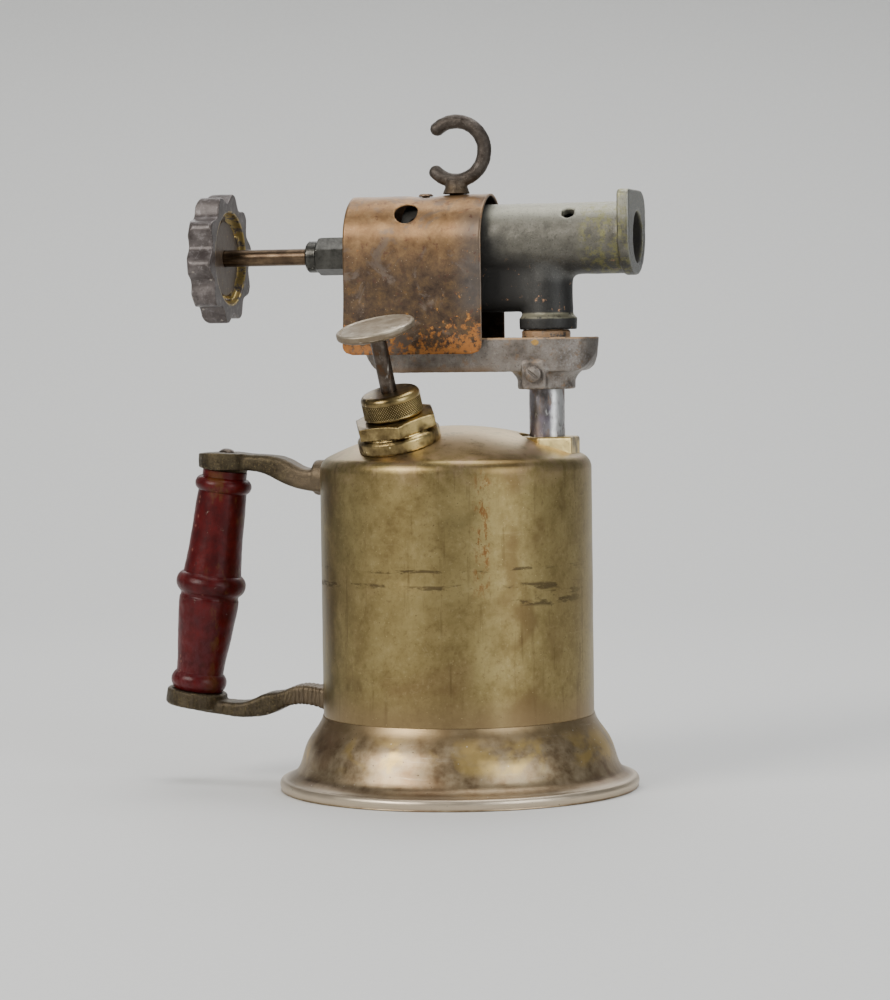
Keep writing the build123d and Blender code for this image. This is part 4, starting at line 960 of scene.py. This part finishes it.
def skirt_dents(radii, turns, heights):
    soft = ring_noise(radii, turns, heights, 15, 8.0, 3)
    depth = dented(0.22 * (1 - soft) / 2, turns, heights, 62, (-100, 16, 5, 4, 0.5), (-55, 20, 6, 3, 0.4),
                   (-130, 12, 6, 4, 0.4), (-80, 3, 4, 3, 0.3), (70, 15, 8, 5, 0.5))
    fairing = 0.8 * np.clip((heights - 24.5) / 5, 0, 1) ** 1.5 * (radii > 54.3)
    return radii - depth * np.clip((29.0 - heights) / 3, 0, 1) - fairing, heights


shell = turned_mesh("tank_shell", TANK, segments=256, radius=0.4, spacing=1.6, angle=2.2, shape=tank_dents)
bushing_hole = cylinder((pipe_middle.x / MM, 0, 128), (0, 0, 1), radius=11.2, length=20)
bung_hole = cylinder((pump_foot - pump_way * 0.03) / MM, pump_way, radius=11.4, length=50)
new_piece("tank_shell", "dented", cut(shell, bushing_hole, bung_hole))
turned_piece("base_skirt", TANK, segments=288, radius=0.2, spacing=1.1, shape=skirt_dents)


# ---------------------------------------------------------------- pump
def knob_wear(radii, turns, heights):
    soft = ring_noise(radii, turns, heights, 5, 2.0, 3)
    nicks = dented(0.0, turns, heights, 15.5, (60, 46.5, 1.2, 0.8, 0.3), (-35, 46.6, 1.0, 0.7, 0.25))
    return radii - (0.10 * (1 - soft) / 2 + nicks) * np.clip(radii / 4, 0, 1), heights - 0.05 * (1 - soft)


def knurled(radii, turns, heights):
    """Diamond knurling between the smooth lip and the rounded top, worn and a little uneven."""
    rows, pitch, deep, lip, crown = 72, 1.15, 0.45, 11.5, 17.5
    around = turns / (2 * math.pi) * rows
    upward = heights / pitch
    rising = np.abs(((around + upward) % 1.0) * 2 - 1)
    falling = np.abs(((around - upward) % 1.0) * 2 - 1)
    grooves = np.maximum(rising, falling) ** 1.5
    band = np.clip((heights - lip) / 0.3, 0, 1) * np.clip((crown - heights) / 0.5, 0, 1) * (radii > 11.2)
    soft = ring_noise(radii, turns, heights, 4, 6.0)
    return radii - band * deep * grooves * (0.9 + 0.1 * soft) - 0.03 * (1 - soft) * (radii > 4), heights


def mark_grooves(mesh, place):
    """Gives each point of the knurling its depth below the crests, for the finish to darken."""
    crest, depth = 11.66, 0.34
    points = read_points(mesh)
    inward = np.array(place.inverted())
    local = points @ inward[:3, :3].T + inward[:3, 3]
    radii = np.hypot(local[:, 0], local[:, 1]) / MM
    heights = local[:, 2] / MM
    band = (radii > 11.0) * (heights > 11.6) * (heights < 17.4)
    grooves = mesh.attributes.new("groove", "FLOAT", "POINT")
    grooves.data.foreach_set("value", (np.clip((crest - radii) / depth, 0, 1) * band).astype(np.float32))


def top_holes():
    """Cutters for the two small blind holes in the pump cap's top."""
    height, reach = 0.0175, 0.0063
    side_way = pump_way.cross(pump_way.cross(Vector((0, 0, 1))).normalized())
    cross_way = pump_way.cross(side_way)
    for turn in (200, 236):
        way = side_way * math.cos(math.radians(turn)) + cross_way * math.sin(math.radians(turn))
        hole = (pump_foot + pump_way * height + way * reach) / MM
        yield cylinder(hole, pump_way, radius=0.6, length=5, sides=24)


def sprung_piece(node, joint_name):
    """The spring as a piece of its own, with its own copy of the CAD mesh; it keeps its CAD shape."""
    way = Vector(joints[joint_name]["axis"]).normalized()
    mesh = cad_mesh(node)
    heights = read_points(mesh) @ np.array(way)
    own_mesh(new_piece(node, "sprung", mesh))


sprung_piece("check_valve_spring", "air_valve_lift")
turned_piece("pump_knob", PUMP, segments=200, radius=0.15, spacing=0.45, shape=knob_wear)
turned_piece("pump_rod", PUMP, segments=72, radius=0.3)
cap = turned_mesh("pump_cap", PUMP, segments=432, radius=0.15, spacing=0.25, angle=1.0, shape=knurled)
cap = cut(cap, *top_holes())
mark_grooves(cap, PUMP)
new_piece("pump_cap", "knurled", cap)
cast_piece("pump_bung", 0.32, depth=0.1, size=3)
cast_piece("pump_collar", 0.27, smooth=2, depth=0.08, size=3)


# ---------------------------------------------------------------- standpipe, nuts and screws
def pitted(radii, turns, heights):
    soft = ring_noise(radii, turns, heights, 1.5, 4.0, 4)
    return radii - 0.22 * (1 - soft) / 2 * (radii > 7.6), heights


def handled_pipe(radii, turns, heights):
    soft = ring_noise(radii, turns, heights, 3.0, 9.0, 3)
    return radii - 0.12 * (1 - soft) / 2 * (radii > 6), heights


turned_piece("standpipe", PIPE, segments=144, radius=0.2, spacing=0.5, shape=handled_pipe)
turned_piece("lock_nut", PIPE, segments=160, radius=0.5, spacing=0.35, shape=pitted)
cast_piece("standpipe_bushing", 0.26, smooth=2, depth=0.08, size=3)
cast_piece("packing_nut", 0.22, smooth=2, depth=0.06, size=2.5)
cast_piece("cup_set_screw", 0.16, smooth=9, depth=0.1, size=1.4)
cast_piece("filler_plug", 0.3, smooth=2)
turned_piece("filler_bushing", TANK, segments=144, spacing=0.6)
turned_piece("tank_bottom", TANK, segments=200, spacing=1.5)
turned_piece("valve_spindle", VALVE, segments=72, radius=0.3)
cast_piece("wheel_nut", 0.13, smooth=2)


# ---------------------------------------------------------------- handle
def grip_wear(radii, turns, heights):
    soft = ring_noise(radii, turns, heights, 9, 5.0, 3)
    fine = ring_noise(radii, turns, heights, 1.6, 11.0, 4)
    depth = dented(-0.10 * soft - 0.03 * fine, turns, heights, 11, (95, 20, 2.5, 3, 0.5),
                   (130, 31, 2, 2, 0.4), (60, 47, 2, 1.5, 0.5), (150, 47, 1.8, 1.6, 0.45),
                   (110, 70, 3, 5, 0.3), (80, 85, 2, 2, 0.4))
    return radii - depth * (radii > 6), heights


def cross_ridges(mesh):
    """Filed ridges across the lower arm beside the tank."""
    points = read_points(mesh)
    normals = read_normals(mesh)
    along = points[:, 0] / MM
    wobble = soft_noise(points, 4, 2, 6.0)
    ridge = 0.5 + 0.5 * np.sin(along * 2 * math.pi / 1.7 + wobble * 2.5)
    fade = np.clip((along + 76) / 5, 0, 1) * np.clip((-55 - along) / 2, 0, 1)
    write_points(mesh, points - normals * (ridge * fade * 0.28 * MM)[:, None])


turned_piece("handle_grip", GRIP, segments=200, radius=0.5, spacing=0.55, shape=grip_wear)
turned_piece("handle_rod", GRIP, segments=72, radius=0.4, spacing=0.6)
cast_piece("upper_arm", 0.42, depth=0.16, size=2.6, seed=2.0)
cast_piece("lower_arm", 0.42, depth=0.16, size=2.6, seed=3.0, shaped=cross_ridges)


# ---------------------------------------------------------------- castings
def soften_region(mesh, inside, rounds):
    """Melts the corners of part of a mesh into fillets. inside(points in mm) gives each point's share."""
    points = read_points(mesh)
    share = np.clip(inside(points / MM), 0, 1)
    edges = np.empty(len(mesh.edges) * 2, np.int32)
    mesh.edges.foreach_get("vertices", edges)
    edges = edges.reshape(-1, 2)
    count = np.bincount(edges.ravel(), minlength=len(points))[:, None]
    for _ in range(rounds):
        total = np.zeros_like(points)
        np.add.at(total, edges[:, 0], points[edges[:, 1]])
        np.add.at(total, edges[:, 1], points[edges[:, 0]])
        points = points + (total / np.maximum(count, 1) - points) * (0.6 * share)[:, None]
    write_points(mesh, points)


def melt_burner(mesh):
    """Runs the neck into the tube, and softens the block under the tube, as in a sand casting."""
    neck_x = 38.4

    def neck(points):
        x, y, z = points.T
        near = np.clip((17 - np.hypot(x - neck_x, y)) / 3, 0, 1)
        outside = np.hypot(y, z - tube_z) > 13.2
        return near * np.clip((212 - z) / 4, 0, 1) * np.clip((z - 190) / 3, 0, 1) * outside

    def block(points):
        x, y, z = points.T
        return (x < 32) * (x > -34) * (z > 186) * (z < 207) * 0.8 * (np.hypot(y, z - tube_z) > 12.5)
    soften_region(mesh, neck, 45)
    soften_region(mesh, block, 10)


cast_piece("burner_body", 0.62, smooth=2, depth=0.13, size=4.0, seed=4.0, shaped=melt_burner)
cast_piece("priming_cup", 0.45, smooth=4, depth=0.18, size=2.4, octaves=4, seed=5.0)
cast_piece("handwheel", 0.4, depth=0.08, size=4.0, seed=6.0)
cast_piece("iron_hook", 0.34, depth=0.22, size=2.4, octaves=4, seed=7.0)


# ---------------------------------------------------------------- heat shield
def sheet_shield():
    """The bent sheet with its rounded corners, slight waves, a dip at its screw and its three sorts of hole.
    An air hole is given by its x, its side and its degrees above the level."""
    screw_x = middle("shield_screw").x / MM
    hook_x = mounts["iron_rest"]["pos_m"][0] / MM
    (left, _, bottom), (right, half_width, top) = [Vector(corner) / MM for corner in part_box("heat_shield")]
    sheet, cell, corner = 0.8, 0.9, 4.0
    air_holes = ((-15.0, -1, 38), (-30.0, 1, 58))
    air_radius, hook_radius, screw_radius, reach = 4.75, 2.7, 1.7, 26
    radius = half_width - sheet / 2
    centre_z = top - half_width
    leg = centre_z - bottom
    arc = math.pi * radius
    total = 2 * leg + arc
    rows, columns = round(total / cell), round((right - left) / cell)
    points = []
    for row in range(rows + 1):
        s = total * row / rows
        if s < leg:
            y, z = -radius, bottom + s
        elif s > leg + arc:
            y, z = radius, bottom + total - s
        else:
            turn = math.pi * (s - leg) / arc
            y, z = -radius * math.cos(turn), centre_z + radius * math.sin(turn)
        inset = corner - min(corner, z - bottom)
        half = (right - left) / 2 - (corner - math.sqrt(corner ** 2 - inset ** 2))
        for column in range(columns + 1):
            points.append(((left + right) / 2 + half * (2 * column / columns - 1), y, z))
    points = np.array(points)
    x, y, z = points.T
    waves = soft_noise(points * MM, 17, 2, 12.0) * 0.5 - 0.5
    outward = np.stack([np.zeros(len(points)), y, np.maximum(z - centre_z, 0)], 1)
    outward /= np.linalg.norm(outward, axis=1)[:, None]
    points = points + outward * (waves * 0.55)[:, None]
    dip = 0.75 * np.exp(-((x - screw_x) ** 2 + y ** 2) / 38.0) * (z > centre_z)
    points[:, 2] -= dip
    flare = np.clip((200 - z) / 28, 0, 1) ** 2 * np.clip((left + 14 - x) / 14, 0, 1)
    points[:, 0] -= 0.9 * flare
    width = columns + 1
    faces = [(r * width + c, r * width + c + 1, (r + 1) * width + c + 1, (r + 1) * width + c)
             for r in range(rows) for c in range(columns)]
    mesh = bpy.data.meshes.new("shield")
    mesh.from_pydata((points * MM).tolist(), [], faces)

    def thicken(holder):
        solid = holder.modifiers.new("sheet", "SOLIDIFY")
        solid.thickness = sheet * MM
        solid.offset = 0.0
        solid.use_even_offset = True
    mesh = apply_modifiers(mesh, thicken)
    cutters = []
    for hole_x, side, lift in air_holes:
        way = (0, side * math.cos(math.radians(lift)), math.sin(math.radians(lift)))
        cutters.append(cylinder((hole_x, 0, centre_z), way, air_radius, reach))
    for hole_x, hole_radius in ((hook_x, hook_radius), (screw_x, screw_radius)):
        cutters.append(cylinder((hole_x, 0, centre_z), (0, 0, 1), hole_radius, reach))
    return cut(mesh, *cutters)


new_piece("heat_shield", "bent", sheet_shield())
screw_sinks = 0.7
cast_piece("shield_screw", 0.14, depth=0.15, size=1.5,
           shaped=lambda mesh: mesh.transform(Matrix.Translation((0, 0, -screw_sinks * MM))))


# ---------------------------------------------------------------- parts that keep their CAD shape
for node, slot in slots.items():
    if not frame["nodes"][node].hide_render:
        materials = frame["nodes"][node].data.materials
        materials.clear()
        materials.append(finishes[slot])


# ---------------------------------------------------------------- stage
def aimed(obj, place, target, roll=0.0):
    obj.location = place
    facing = (Vector(target) - Vector(place)).to_track_quat("-Z", "Y")
    obj.rotation_euler = (facing.to_matrix() @ Matrix.Rotation(math.radians(roll), 3, "Z")).to_euler()


def add_camera():
    camera = bpy.data.objects.new("camera", bpy.data.cameras.new("camera"))
    bpy.context.scene.collection.objects.link(camera)
    camera.data.sensor_width = 36.0
    camera.data.lens = 115.2
    camera.data.clip_start = 0.05
    camera.data.clip_end = 20.0
    aimed(camera, (0.3287, -1.2267, 0.179), (-0.0043, -0.0012, 0.1144), roll=-0.75)
    bpy.context.scene.camera = camera


def add_softbox(name, place, target, size, power, colour=(1.0, 1.0, 1.0)):
    light = bpy.data.lights.new(name, "AREA")
    light.shape = "RECTANGLE"
    light.size, light.size_y = size
    light.energy = power
    light.color = colour
    box = bpy.data.objects.new(name, light)
    bpy.context.scene.collection.objects.link(box)
    aimed(box, place, target)


def add_floor():
    """A pale floor that curves up into a backdrop behind the torch."""
    paper = Surface("paper", metallic=0.0, roughness=0.75)
    fibre = paper.noise(3.0, detail=6)
    paper.colour = paper.mix((0.66, 0.66, 0.65), (0.71, 0.71, 0.70), fibre)
    paper.bump(fibre, 0.02, 0.3)
    half_width, front, back, rise, bend, steps = 4.0, -4.0, 1.6, 2.4, 0.8, 16
    outline = [(front, 0.0), (back - bend, 0.0)]
    for step in range(1, steps + 1):
        turn = math.radians(90 * step / steps)
        outline.append((back - bend + bend * math.sin(turn), bend - bend * math.cos(turn)))
    outline.append((back, rise))
    points = [(side * half_width, y, z) for side in (-1, 1) for y, z in outline]
    count = len(outline)
    faces = [(i, i + 1, count + i + 1, count + i) for i in range(count - 1)]
    mesh = bpy.data.meshes.new("floor")
    mesh.from_pydata(points, [], faces)
    mesh.materials.append(paper.finish())
    mesh.shade_smooth()
    floor = bpy.data.objects.new("floor", mesh)
    bpy.context.scene.collection.objects.link(floor)
    floor.matrix_world = Matrix.Rotation(math.radians(15), 4, "Z")


def add_world():
    world = bpy.data.worlds.new("studio")
    bpy.context.scene.world = world
    world.use_nodes = True
    background = world.node_tree.nodes["Background"]
    background.inputs["Color"].default_value = (0.55, 0.58, 0.60, 1.0)
    background.inputs["Strength"].default_value = 0.35


add_camera()
add_floor()
add_world()
add_softbox("key", (-0.9, -1.3, 1.0), (0, 0, 0.12), (0.9, 0.7), 26.0, (1.0, 0.97, 0.92))
add_softbox("fill", (1.3, -0.9, 0.6), (0, 0, 0.12), (0.8, 0.9), 12.0, (0.95, 0.98, 1.0))
add_softbox("top", (0.1, 0.2, 1.5), (0, 0, 0.1), (1.2, 0.9), 16.0)
add_softbox("back", (-0.3, 1.15, 0.95), (0, 0, 0.12), (1.6, 0.6), 7.0)

bpy.context.view_layer.update()
